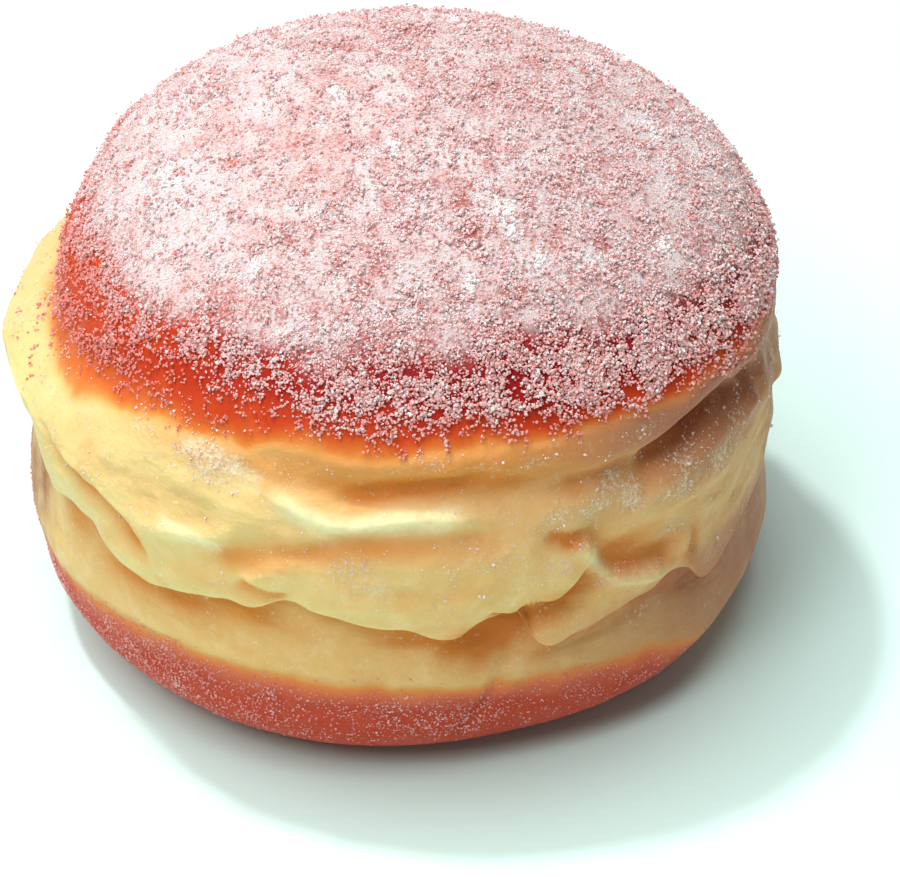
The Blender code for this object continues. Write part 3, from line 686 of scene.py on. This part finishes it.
for name, values in {
    "brown": np.maximum(crust, base_crust),
    "side_shade": side_shade,
    "base": base_crust,
    "crease_shade": crease_shade,
    "butter_and_light": butter_and_light,
    "dust": dust,
    "frost": frost,
    "dry_skin_and_shade": dry_skin_and_shade,
    "pocket_shade": pocket_shade,
    "packed": packed - bald,
    "highlight_line": highlight_line,
}.items():
    keep(name, values)
    print(f"{name}: mean {values.mean():.2f}")

# %% [markdown]
# ## A small kit for materials
#
# A node material is a graph. Written out in full it takes a dozen lines a node, so three short helpers make a node,
# join its inputs and hand back an output. Everything the export must keep, such as roughness that is even all over,
# is set on the shader's own socket.

# %% Helpers for node graphs
def new_material(name):
    material = bpy.data.materials.new(name)
    material.use_nodes = True
    material.node_tree.nodes.clear()
    return material


def add(material, kind, inputs=(), **settings):
    """A node of that kind, with its settings, and its inputs set to a value or joined to another node's output."""
    node = material.node_tree.nodes.new(kind)
    for key, value in settings.items():
        setattr(node, key, value)
    for key, value in dict(inputs).items():
        if isinstance(value, bpy.types.NodeSocket):
            material.node_tree.links.new(value, node.inputs[key])
        else:
            node.inputs[key].default_value = value
    return node


def value_of(material, attribute):
    return add(material, "ShaderNodeAttribute", attribute_name=attribute).outputs["Fac"]


def noise(material, size_mm, detail=3.0, roughness=0.6, stretch=(1, 1, 1)):
    """Noise on the object's own coordinates, whose blobs are about that many millimetres across."""
    where = add(material, "ShaderNodeTexCoord").outputs["Object"]
    scaled = add(material, "ShaderNodeMapping", {"Vector": where, "Scale": stretch}).outputs["Vector"]
    return add(
        material,
        "ShaderNodeTexNoise",
        {"Vector": scaled, "Scale": 1.0 / (size_mm * MM), "Detail": detail, "Roughness": roughness},
    ).outputs["Fac"]


def blend_colours(material, share, first, second):
    node = add(material, "ShaderNodeMix", data_type="RGBA")
    for key, value in (("Factor", share), ("A", first), ("B", second)):
        socket = next(s for s in node.inputs if s.name == key and (key == "Factor" and s.type == "VALUE" or s.type == "RGBA"))
        if isinstance(value, bpy.types.NodeSocket):
            material.node_tree.links.new(value, socket)
        else:
            socket.default_value = value
    return next(s for s in node.outputs if s.type == "RGBA")


def sums(material, operation, first, second, clamp=False):
    return add(material, "ShaderNodeMath", {0: first, 1: second}, operation=operation, use_clamp=clamp).outputs[0]


def stretch_range(material, value, low, high, to_low=0.0, to_high=1.0):
    return add(
        material,
        "ShaderNodeMapRange",
        {"Value": value, "From Min": low, "From Max": high, "To Min": to_low, "To Max": to_high},
        interpolation_type="SMOOTHSTEP",
    ).outputs["Result"]


def ramp(material, value, stops):
    node = add(material, "ShaderNodeValToRGB", {"Fac": value})
    elements = node.color_ramp.elements
    while len(elements) < len(stops):
        elements.new(1.0)
    for element, (position, colour) in zip(elements, stops):
        element.position = position
        element.color = (*colour, 1.0)
    return node.outputs["Color"]


# %% [markdown]
# ## The material of fried dough
#
# Pale dough is cream to yolk yellow, and light goes into it and comes out again a little way off, which is what
# subsurface scattering does. Browning is one ramp from pale through gold and orange to red brown: the real colours
# follow each other in that order as the crust cooks. Noise shifts the browning a little, so it is never even.
# A thin film of powdered sugar lies over the crust where `dust` is high.

# %% Fried dough
fried = new_material("fried_dough")
brown_noise = noise(fried, 5.0, detail=5.0)
fine_noise = noise(fried, 0.7, detail=4.0)
brown_value = value_of(fried, "brown")
wobble = sums(fried, "MULTIPLY", sums(fried, "SUBTRACT", brown_noise, 0.5), 0.35)
mottled = sums(fried, "ADD", brown_value, sums(fried, "MULTIPLY", wobble, brown_value), clamp=True)

# partly painted light: lit sides and crests are yellower
butter_and_light_value = value_of(fried, "butter_and_light")
pale = blend_colours(fried, butter_and_light_value, (0.86, 0.45, 0.155, 1), (0.80, 0.62, 0.26, 1))
pale_spots = stretch_range(fried, noise(fried, 2.6, detail=5.0), 0.42, 0.68)
pale = blend_colours(fried, sums(fried, "MULTIPLY", pale_spots, 0.4), pale, (0.94, 0.68, 0.35, 1))
tan_spots = stretch_range(fried, noise(fried, 4.5, detail=5.0), 0.5, 0.75)
pale = blend_colours(fried, sums(fried, "MULTIPLY", tan_spots, 0.4), pale, (0.78, 0.35, 0.10, 1))
# painted shade: the golden orange laid into the folds and under the lips
crease_shade_gold = (0.74, 0.23, 0.022, 1)
crease_shade_share = sums(fried, "MULTIPLY", value_of(fried, "crease_shade"), 0.9)
pale = blend_colours(fried, crease_shade_share, pale, crease_shade_gold)
# painted shade: dark amber in the deepest tucks and under the lip
pale = blend_colours(fried, sums(fried, "MULTIPLY", value_of(fried, "pocket_shade"), 0.97), pale, (0.64, 0.16, 0.006, 1))

# painted shade: grey brown on the side turned away from the light
side_shade_share = sums(fried, "MULTIPLY", value_of(fried, "side_shade"), 0.85)
pale = blend_colours(fried, side_shade_share, pale, (0.46, 0.175, 0.11, 1))
# dry brown skin and painted shade, laid on in one dark brown
dry_or_shade_noise = stretch_range(fried, noise(fried, 2.0, detail=4.0), 0.3, 0.7, 0.7, 1.1)
dry_or_shaded = sums(fried, "MULTIPLY", value_of(fried, "dry_skin_and_shade"), dry_or_shade_noise, clamp=True)
pale = blend_colours(fried, sums(fried, "MULTIPLY", dry_or_shaded, 0.92), pale, (0.36, 0.11, 0.05, 1))

# the ramp's darkest end, a purple crimson, is partly the painted shade of the right side
dome_crust = ramp(
    fried,
    mottled,
    ((0.0, (0.84, 0.50, 0.18)), (0.16, (0.80, 0.34, 0.08)), (0.34, (0.74, 0.17, 0.03)), (0.56, (0.60, 0.062, 0.015)), (0.8, (0.38, 0.014, 0.008)), (1.0, (0.24, 0.006, 0.012))),
)
base_colour = ramp(
    fried,
    mottled,
    ((0.0, (0.84, 0.47, 0.18)), (0.3, (0.82, 0.33, 0.11)), (0.6, (0.76, 0.20, 0.10)), (1.0, (0.52, 0.06, 0.03))),
)
# the painted side shade also darkens the crust's border to tan on that side
border_side_shade = sums(fried, "MULTIPLY", stretch_range(fried, mottled, 0.1, 0.5, 1.0, 0.0), side_shade_share, clamp=True)
dome_crust = blend_colours(fried, border_side_shade, dome_crust, (0.52, 0.20, 0.10, 1))
crusts = blend_colours(fried, value_of(fried, "base"), dome_crust, base_colour)
crust_share = stretch_range(fried, mottled, 0.0, 0.25)
surface = blend_colours(fried, crust_share, pale, crusts)

# painted highlight, pale yellow, along the edges of the folds
line_noise = stretch_range(fried, noise(fried, 1.1, detail=4.0), 0.3, 0.6, 0.6, 1.0)
line_share = sums(fried, "MULTIPLY", sums(fried, "MULTIPLY", value_of(fried, "highlight_line"), line_noise), 0.95)
surface = blend_colours(fried, line_share, surface, (0.93, 0.84, 0.50, 1))
specks = stretch_range(fried, noise(fried, 0.55, detail=2.0), 0.58, 0.70)
speck_clouds = stretch_range(fried, noise(fried, 4.0, detail=3.0), 0.45, 0.65, 0.0, 0.35)
frost_value = value_of(fried, "frost")
frost_noise = sums(fried, "ADD", noise(fried, 0.5, detail=3.0, roughness=0.7), sums(fried, "MULTIPLY", frost_value, 0.3))
frosted = sums(fried, "MULTIPLY", stretch_range(fried, frost_noise, 0.58, 0.88), 0.65)
frosted = sums(fried, "MULTIPLY", frosted, stretch_range(fried, frost_value, 0.0, 0.35))
specks = sums(fried, "MAXIMUM", sums(fried, "MULTIPLY", specks, speck_clouds), frosted)
specks = sums(fried, "MULTIPLY", specks, sums(fried, "SUBTRACT", 1.0, crust_share, clamp=True))
surface = blend_colours(fried, specks, surface, (0.95, 0.84, 0.64, 1))

haze = sums(fried, "MULTIPLY", stretch_range(fried, value_of(fried, "dust"), 0.7, 1.0), 0.35)
surface = blend_colours(fried, haze, surface, (0.72, 0.33, 0.29, 1))
film_fine = noise(fried, 0.42, detail=2.0, roughness=0.6)
film_patches = noise(fried, 3.2, detail=3.0, stretch=(1.2, 0.7, 1.0))
film_drifts = noise(fried, 11.0, detail=2.0, stretch=(1.3, 0.6, 1.0))
dust_value = value_of(fried, "dust")
cover = sums(fried, "ADD", sums(fried, "MULTIPLY", film_fine, 1.05), sums(fried, "MULTIPLY", film_patches, 0.4))
cover = sums(fried, "ADD", cover, sums(fried, "MULTIPLY", film_drifts, 0.3))
cover = sums(fried, "ADD", cover, sums(fried, "MULTIPLY", value_of(fried, "packed"), 0.4))
cover = sums(fried, "ADD", cover, sums(fried, "MULTIPLY", dust_value, 0.5))
film = sums(fried, "MULTIPLY", stretch_range(fried, cover, 1.05, 1.45), 0.92)
film = sums(fried, "MULTIPLY", film, stretch_range(fried, dust_value, 0.5, 1.0))
film_tone = blend_colours(
    fried, sums(fried, "ADD", stretch_range(fried, film_patches, 0.35, 0.65), value_of(fried, "packed"), clamp=True), (0.68, 0.485, 0.47, 1), (0.69, 0.65, 0.645, 1)
)
surface = blend_colours(fried, film, surface, film_tone)

wrinkles = noise(fried, 4.2, detail=3.0, roughness=0.5, stretch=(0.9, 0.9, 1.5))
wrinkles = sums(fried, "MULTIPLY", wrinkles, sums(fried, "SUBTRACT", 1.0, crust_share, clamp=True))
wrinkle_bump = add(
    fried, "ShaderNodeBump", {"Height": wrinkles, "Strength": 0.6, "Distance": 1.2 * MM}
).outputs["Normal"]
grain_bump = add(
    fried, "ShaderNodeBump", {"Height": fine_noise, "Strength": 0.45, "Distance": 0.3 * MM, "Normal": wrinkle_bump}
).outputs["Normal"]
pores = stretch_range(fried, noise(fried, 1.6, detail=2.0), 0.62, 0.74)
pore_bump = add(
    fried, "ShaderNodeBump", {"Height": pores, "Strength": 0.35, "Distance": -0.15 * MM, "Normal": grain_bump}
).outputs["Normal"]
pore_bump = add(
    fried, "ShaderNodeBump", {"Height": specks, "Strength": 0.7, "Distance": 0.25 * MM, "Normal": pore_bump}
).outputs["Normal"]
film_bump = add(
    fried, "ShaderNodeBump", {"Height": film, "Strength": 0.8, "Distance": 0.2 * MM, "Normal": pore_bump}
).outputs["Normal"]
sheen_noise = stretch_range(fried, noise(fried, 3.0, detail=3.0), 0.3, 0.7, 0.38, 0.6)
matt = sums(fried, "ADD", sheen_noise, sums(fried, "MULTIPLY", film, 0.35), clamp=True)
shader = add(
    fried,
    "ShaderNodeBsdfPrincipled",
    {
        "Base Color": surface,
        "Roughness": matt,
        "Specular IOR Level": 0.08,
        "Subsurface Weight": 0.3,
        "Subsurface Radius": (2.2, 1.1, 0.5),
        "Subsurface Scale": MM,
        "Normal": film_bump,
    },
)
add(fried, "ShaderNodeOutputMaterial", {"Surface": shader.outputs["BSDF"]})
dough_mesh.materials.append(fried)
print(f"{len(fried.node_tree.nodes)} nodes in the dough's material")

# %% [markdown]
# ## Sugar
#
# The doughnut was tossed in sugar while warm. Fine powder sits everywhere on the dome, grains stand out of it, and
# towards the rim they gather in small clumps with the crust showing between. Particles would be easy, but they are
# lost when a model is exported. So each kind of sugar is one joined mesh: a small shape is repeated from arrays of
# places, sizes and turns.

# %% Where sugar can land
triangles = []
dough_mesh.calc_loop_triangles()
corner_index = np.empty(len(dough_mesh.loop_triangles) * 3, int)
dough_mesh.loop_triangles.foreach_get("vertices", corner_index)
corner_index = corner_index.reshape(-1, 3)
corner = points[corner_index]
across = np.cross(corner[:, 1] - corner[:, 0], corner[:, 2] - corner[:, 0])
area = np.linalg.norm(across, axis=1) / 2
face_normal = across / np.maximum(np.linalg.norm(across, axis=1), 1e-12)[:, None]
facing_up = face_normal[:, 2]
point_values = {
    name: values[point_row, point_column]
    for name, values in {"dust": dust, "grains": grains, "bald": bald, "packed": packed, "crust": crust, "angle": angle * np.ones_like(radius), "height": height, "waist": waist * np.ones_like(radius), "base": base_crust, "frost": frost}.items()
}
face_values = {name: values[corner_index].mean(axis=1) for name, values in point_values.items()}
face_values["angle"] = point_values["angle"][corner_index[:, 0]]
print(f"{len(area)} triangles, {area.sum() * 1e6:.0f} square millimetres")


def landing_places(count, weight, seed):
    """Random places on the skin, as (place, normal, triangle), more of them where the weight is high."""
    rng = np.random.default_rng(seed)
    chance = np.cumsum(area * np.maximum(weight, 0.0))
    found = np.searchsorted(chance, rng.uniform(0, chance[-1], count))
    a, b = rng.uniform(0, 1, (2, count, 1))
    fold = (a + b) > 1
    a, b = np.where(fold, 1 - a, a), np.where(fold, 1 - b, b)
    c = corner[found]
    return c[:, 0] + (c[:, 1] - c[:, 0]) * a + (c[:, 2] - c[:, 0]) * b, face_normal[found], found


# %% [markdown]
# Each grain is one of a few lumpy shapes, turned at random and squashed a little. A grain is only eight or twenty
# faces, because there are thousands of them.

# %% Repeat a shape into one mesh
def lumpy_shapes(kind, count, uneven, seed):
    """A few uneven copies of a small closed shape of radius 1, as (points, faces)."""
    rng = np.random.default_rng(seed)
    work = bmesh.new()
    if kind == "crystal":
        bmesh.ops.create_uvsphere(work, u_segments=4, v_segments=2, radius=1.0)
    else:
        bmesh.ops.create_icosphere(work, subdivisions=1, radius=1.0)
    bmesh.ops.triangulate(work, faces=work.faces)
    shape = np.array([v.co[:] for v in work.verts])
    faces = np.array([[v.index for v in f.verts] for f in work.faces])
    work.free()
    return [shape * rng.uniform(1 - uneven, 1 + uneven, (len(shape), 1)) for _ in range(count)], faces


def random_turns(count, rng):
    quarter = rng.normal(size=(count, 4))
    w, x, y, z = (quarter / np.linalg.norm(quarter, axis=1, keepdims=True)).T
    return np.stack(
        [
            1 - 2 * (y * y + z * z), 2 * (x * y - z * w), 2 * (x * z + y * w),
            2 * (x * y + z * w), 1 - 2 * (x * x + z * z), 2 * (y * z - x * w),
            2 * (x * z - y * w), 2 * (y * z + x * w), 1 - 2 * (x * x + y * y),
        ],
        axis=-1,
    ).reshape(-1, 3, 3)


def scattered(name, kind, places, normals, sizes, tints, seed, material, uneven=0.3, flat=1.0):
    """One object made of a small shape at every place, in its own size, turn and tint. A `flat` under 1 presses every
    shape against the skin by that share."""
    rng = np.random.default_rng(seed)
    shapes, faces = lumpy_shapes(kind, 8, uneven, seed)
    which = rng.integers(0, len(shapes), len(places))
    shape = np.array(shapes)[which]
    squash = rng.uniform(0.75, 1.2, (len(places), 1, 3))
    turned = np.einsum("nij,nvj->nvi", random_turns(len(places), rng), shape * squash)
    turned -= (1.0 - flat) * np.einsum("nvi,ni->nv", turned, normals)[..., None] * normals[:, None, :]
    all_points = (places[:, None, :] + turned * sizes[:, None, None]).reshape(-1, 3)
    all_faces = (faces[None] + (np.arange(len(places)) * shape.shape[1])[:, None, None]).reshape(-1, 3)
    mesh = bpy.data.meshes.new(name)
    mesh.vertices.add(len(all_points))
    mesh.vertices.foreach_set("co", all_points.ravel())
    mesh.loops.add(all_faces.size)
    mesh.loops.foreach_set("vertex_index", all_faces.ravel().astype(np.int32))
    mesh.polygons.add(len(all_faces))
    mesh.polygons.foreach_set("loop_start", np.arange(0, all_faces.size, 3, dtype=np.int32))
    mesh.update(calc_edges=True)
    mesh.shade_flat()
    layer = mesh.attributes.new("tint", "FLOAT", "POINT")
    layer.data.foreach_set("value", np.repeat(tints, shape.shape[1]).astype(np.float32))
    mesh.materials.append(material)
    made = bpy.data.objects.new(name, mesh)
    bpy.context.scene.collection.objects.link(made)
    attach(made, "root")
    print(f"{name}: {len(places)} grains, {len(all_faces)} triangles")
    return made


# %% [markdown]
# Sugar is clear, so a heap of it is white, and a thin layer lets the crust shine through pink. The `tint` of each
# grain says how much of the red crust it has taken up.

# %% Sugar
sugar = new_material("sugar")
tint_value = value_of(sugar, "tint")
sugar_colour = ramp(sugar, tint_value, ((0.0, (0.81, 0.78, 0.78)), (0.45, (0.79, 0.55, 0.55)), (1.0, (0.76, 0.25, 0.21))))
sparkle = stretch_range(sugar, noise(sugar, 0.5, detail=2.0), 0.3, 0.7, 0.25, 0.6)
sugar_shader = add(
    sugar,
    "ShaderNodeBsdfPrincipled",
    {
        "Base Color": sugar_colour,
        "Roughness": sparkle,
    },
)
add(sugar, "ShaderNodeOutputMaterial", {"Surface": sugar_shader.outputs["BSDF"]})

# %% Patches
def soft_noise(where, size_mm, seed):
    """Smooth noise from 0 to 1 at any places in space, in blobs about that many millimetres across."""
    lattice = np.random.default_rng(seed).uniform(0, 1, (64, 64, 64))
    at = where / (size_mm * MM) + 200.0
    low = np.floor(at).astype(int)
    share = at - low
    share = share * share * (3.0 - 2.0 * share)
    total = np.zeros(len(where))
    for dx in (0, 1):
        for dy in (0, 1):
            for dz in (0, 1):
                weight = np.prod(np.where((dx, dy, dz), share, 1.0 - share), axis=1)
                total += weight * lattice[(low[:, 0] + dx) % 64, (low[:, 1] + dy) % 64, (low[:, 2] + dz) % 64]
    return total


def patches(where, size_mm, seed):
    """The same noise at two sizes, spread out so that it really reaches 0 and 1."""
    mixed = 0.6 * soft_noise(where, size_mm, seed) + 0.4 * soft_noise(where, size_mm * 0.45, seed + 1)
    return smooth_step(0.25, 0.75, mixed)


middle = corner.mean(axis=1)
patch = patches(middle, 2.6, 91)
dust_face = face_values["dust"]
rim = 1.0 - smooth_step(0.45, 1.0, dust_face)


# %% The powder on the dome
def sugar_layer(name, kind, count, weight, seed, size_mm, tint, sink, **how):
    """A layer of loose grains: how many, where, how big (least and most), how tinted (mean and spread), and how far
    each stands out of the skin, as a share of its size."""
    places, normals, found = landing_places(count, weight, seed)
    rng = np.random.default_rng(seed + 1)
    sizes = rng.uniform(*size_mm, len(places)) * MM
    tints = rng.normal(tint[0], tint[1], len(places)) + 0.4 * (0.55 - patches(places, 2.6, 91)) + 0.3 * rim[found] - 0.35 * face_values["packed"][found]
    places = places + normals * sizes[:, None] * sink
    return scattered(name, kind, places, normals, sizes, np.clip(tints, 0, 1), seed + 2, sugar, **how)


heaped = (1.0 - 0.85 * face_values["bald"]) * (1.0 + 1.2 * face_values["packed"])
powder_weight = dust_face**1.6 * (0.25 + patch) * heaped
sugar_layer("sugar_powder", "crystal", 24500, powder_weight, 41, (0.11, 0.22), (0.32, 0.2), 0.1, flat=0.45)
sugar_layer("sugar_dust", "crystal", 24500, dust_face**0.7 * (0.4 + patch) * heaped, 44, (0.09, 0.17), (0.32, 0.2), 0.3, flat=0.6)


# %% [markdown]
# Grains gather. Each heap starts from one landing place, and its grains drift a fraction of a millimetre from it,
# mostly along the skin. Heaps crowd the lower slope of the dome, where the sugar slid to, and thin out below.

# %% The grains and the clumps they make
def clustered(count, per_clump, weight, spread_mm, seed):
    """Places gathered in little heaps: a few grains around each landing place."""
    heart, normals, found = landing_places(count // per_clump, weight, seed)
    rng = np.random.default_rng(seed + 1)
    index = np.repeat(np.arange(len(heart)), per_clump)
    heap = rng.uniform(0.5, 1.5, len(heart))[index]
    drift = rng.normal(size=(len(index), 3)) * spread_mm * MM * heap[:, None]
    drift -= normals[index] * (drift * normals[index]).sum(axis=1, keepdims=True) * 0.5
    return heart[index] + drift, normals[index], found[index], heap


def grain_layer(name, kind, count, per_clump, weight, spread_mm, size_mm, tint, seed):
    places, normals, found, heap = clustered(count, per_clump, weight, spread_mm, seed)
    rng = np.random.default_rng(seed + 1)
    sizes = rng.uniform(*size_mm, len(places)) * (0.75 + 0.3 * heap) * MM
    places = places + normals * sizes[:, None] * 0.8
    thin = 1.0 - face_values["grains"][found]
    tints = np.clip(rng.normal(tint[0], tint[1], len(places)) + 0.45 * thin + 0.2 * on_left[found] + 0.12 * rim[found], 0, 1)
    return scattered(name, kind, places, normals, sizes, tints, seed + 2, sugar)


on_ledge = np.exp(-((((face_values["angle"] + 88) * 0.73) / 9.0) ** 2) - ((face_values["height"] - 43.5) / 3.2) ** 2)
on_left = np.exp(-((face_values["angle"] + 68) / 20) ** 2) * smooth_step(43.5, 48.0, face_values["height"])
on_left = on_left * (1.0 - smooth_step(53.0, 57.0, face_values["height"]))
strays = 0.5 * on_ledge + 1.6 * on_left * face_values["crust"] + 0.2 * face_values["crust"] * smooth_step(0.2, 0.45, face_values["crust"])
seen_most = 0.85 + 1.0 * np.exp(-((((face_values["angle"] - 50) / 42) ** 2)))
slope_weight = (face_values["grains"] * (0.12 + 0.88 * rim) * seen_most + strays) * (0.35 + patch)
grain_layer("sugar_grains", "crystal", 24600, 3, slope_weight, 0.26, (0.11, 0.21), (0.52, 0.24), 51)
grain_layer("sugar_clumps", "crystal", 24600, 12, slope_weight * face_values["grains"], 0.36, (0.11, 0.25), (0.38, 0.24), 61)

# %% [markdown]
# A few places hold a cake of packed sugar, quite white. They are listed one by one, because the eye goes to them.

# %% Cakes of packed sugar
CAKES = (
    (29, 63.9, 1.1), (29.6, 63.3, 0.9), (31, 61.4, 0.8), (-82, 60.2, 1.2), (-78, 60.8, 0.8), (-22, 66.0, 0.9),
    (99, 60.9, 1.0), (-114, 65.7, 0.8), (134, 57.8, 0.9), (60, 58.5, 0.8), (12, 61.2, 0.7), (-40, 60.4, 0.8),
    (170, 62, 0.9), (-150, 60, 0.9),
)
skin_angle, skin_height = face_values["angle"], face_values["height"]
cake_places, cake_normals = [], []
rng = np.random.default_rng(81)
for cake_angle, cake_height, cake_size in CAKES:
    off = np.abs((skin_angle - cake_angle + 180) % 360 - 180) + 2.0 * np.abs(skin_height - cake_height)
    seat = np.argmin(off)
    count = int(130 * cake_size**2)
    drift = rng.normal(size=(count, 3)) * cake_size * MM * 0.55 * (1.0, 1.6, 1.0)
    drift -= face_normal[seat] * (drift @ face_normal[seat])[:, None] * 0.85
    cake_places.append(middle[seat] + drift)
    cake_normals.append(np.repeat(face_normal[seat][None], count, axis=0))
cake_places, cake_normals = np.concatenate(cake_places), np.concatenate(cake_normals)
sizes = rng.uniform(0.13, 0.25, len(cake_places)) * MM
tints = np.clip(rng.normal(0.02, 0.05, len(cake_places)), 0, 1)
scattered("sugar_cakes", "grain", cake_places, cake_normals, sizes, tints, 83, sugar)

# %% [markdown]
# Here and there crystals caught on the sticky waist, in small drifts. They are sparse, so they glint one by one.

# %% Crystals on the waist
waist_face = face_values["waist"] * (1.0 - dust_face) * (1.0 - smooth_step(48.0, 51.0, skin_height))
drifted = 0.05 + face_values["frost"] * patches(middle, 1.6, 77)
waist_weight = waist_face * np.maximum(facing_up + 0.35, 0.0) * drifted
places, normals, found, heap = clustered(7000, 4, waist_weight, 0.35, 71)
rng = np.random.default_rng(72)
sizes = np.clip(rng.lognormal(math.log(0.075), 0.45, len(places)), 0.035, 0.24) * MM
tints = np.clip(rng.normal(0.22, 0.12, len(places)), 0, 0.5)
scattered("waist_sugar", "crystal", places, normals, sizes, tints, 73, sugar)

# %% Fine sugar on the lower crust
base_face = face_values["base"] * smooth_step(-0.75, -0.1, facing_up) * (0.3 + patches(middle, 5.0, 95))
base_face = base_face * (1.0 + np.exp(-(((skin_angle + 52) / 30) ** 2)) - 0.6 * np.exp(-(((skin_angle - 55) / 25) ** 2)))
sugar_layer("base_sugar", "crystal", 11000, base_face, 101, (0.06, 0.18), (0.62, 0.2), 0.3, flat=0.8)

# %% [markdown]
# ## The stage, the lights and the camera
#
# The doughnut stands on a plain pale floor. The main light is high, a little behind and to the left, so the shadow is
# short and falls to the front right. A wide soft light from the left front fills the waist.

# %% Floor
floor_mesh = bpy.data.meshes.new("floor")
work = bmesh.new()
bmesh.ops.create_grid(work, x_segments=1, y_segments=1, size=4.0)
work.to_mesh(floor_mesh)
work.free()
floor = bpy.data.objects.new("floor", floor_mesh)
bpy.context.scene.collection.objects.link(floor)
pale_floor = new_material("pale_floor")
floor_shader = add(
    pale_floor, "ShaderNodeBsdfPrincipled", {"Base Color": (0.72, 0.965, 0.92, 1), "Roughness": 0.9, "Specular IOR Level": 0.1}
)
add(pale_floor, "ShaderNodeOutputMaterial", {"Surface": floor_shader.outputs["BSDF"]})
floor_mesh.materials.append(pale_floor)


# %% Lights
def area_light(name, place_m, size_m, watts, colour=(1, 1, 1)):
    lamp = bpy.data.lights.new(name, "AREA")
    lamp.shape = "DISK"
    lamp.size = size_m
    lamp.energy = watts
    lamp.color = colour
    made = bpy.data.objects.new(name, lamp)
    made.location = place_m
    aim = Vector((0, 0, 0.03)) - Vector(place_m)
    made.rotation_euler = aim.to_track_quat("-Z", "Y").to_euler()
    bpy.context.scene.collection.objects.link(made)
    return made


area_light("key_light", (-0.84, 0.51, 3.0), 0.26, 41.0, (1.0, 0.985, 0.96))
area_light("front_fill", (-0.75, -1.15, 1.65), 0.7, 11.5, (1.0, 0.985, 0.97))
area_light("overhead_softbox", (-0.35, -0.1, 1.6), 1.8, 25.0, (1.0, 0.99, 0.98))
world = bpy.data.worlds.new("studio")
bpy.context.scene.world = world
world.use_nodes = True
world.node_tree.nodes["Background"].inputs["Color"].default_value = (0.95, 1.0, 0.99, 1)
world.node_tree.nodes["Background"].inputs["Strength"].default_value = 0.18

# %% Camera
LENS_MM = 210.7
DISTANCE = 0.6
ELEVATION = math.radians(38.5)
RIGHT_MM, DOWN_MM = 6.56, 10.5  # the picture's middle, from the middle of the doughnut
back = Vector((0, -math.cos(ELEVATION), math.sin(ELEVATION)))
up = Vector((0, math.sin(ELEVATION), math.cos(ELEVATION)))
aim = Vector((RIGHT_MM * MM, 0, 0.033)) - up * DOWN_MM * MM
camera_data = bpy.data.cameras.new("camera")
camera_data.lens = LENS_MM
camera_data.sensor_width = 36.0
camera = bpy.data.objects.new("camera", camera_data)
camera.location = aim + back * DISTANCE
camera.rotation_euler = (-back).to_track_quat("-Z", "Y").to_euler()
bpy.context.scene.collection.objects.link(camera)
bpy.context.scene.camera = camera
bpy.context.scene.view_settings.view_transform = "Standard"
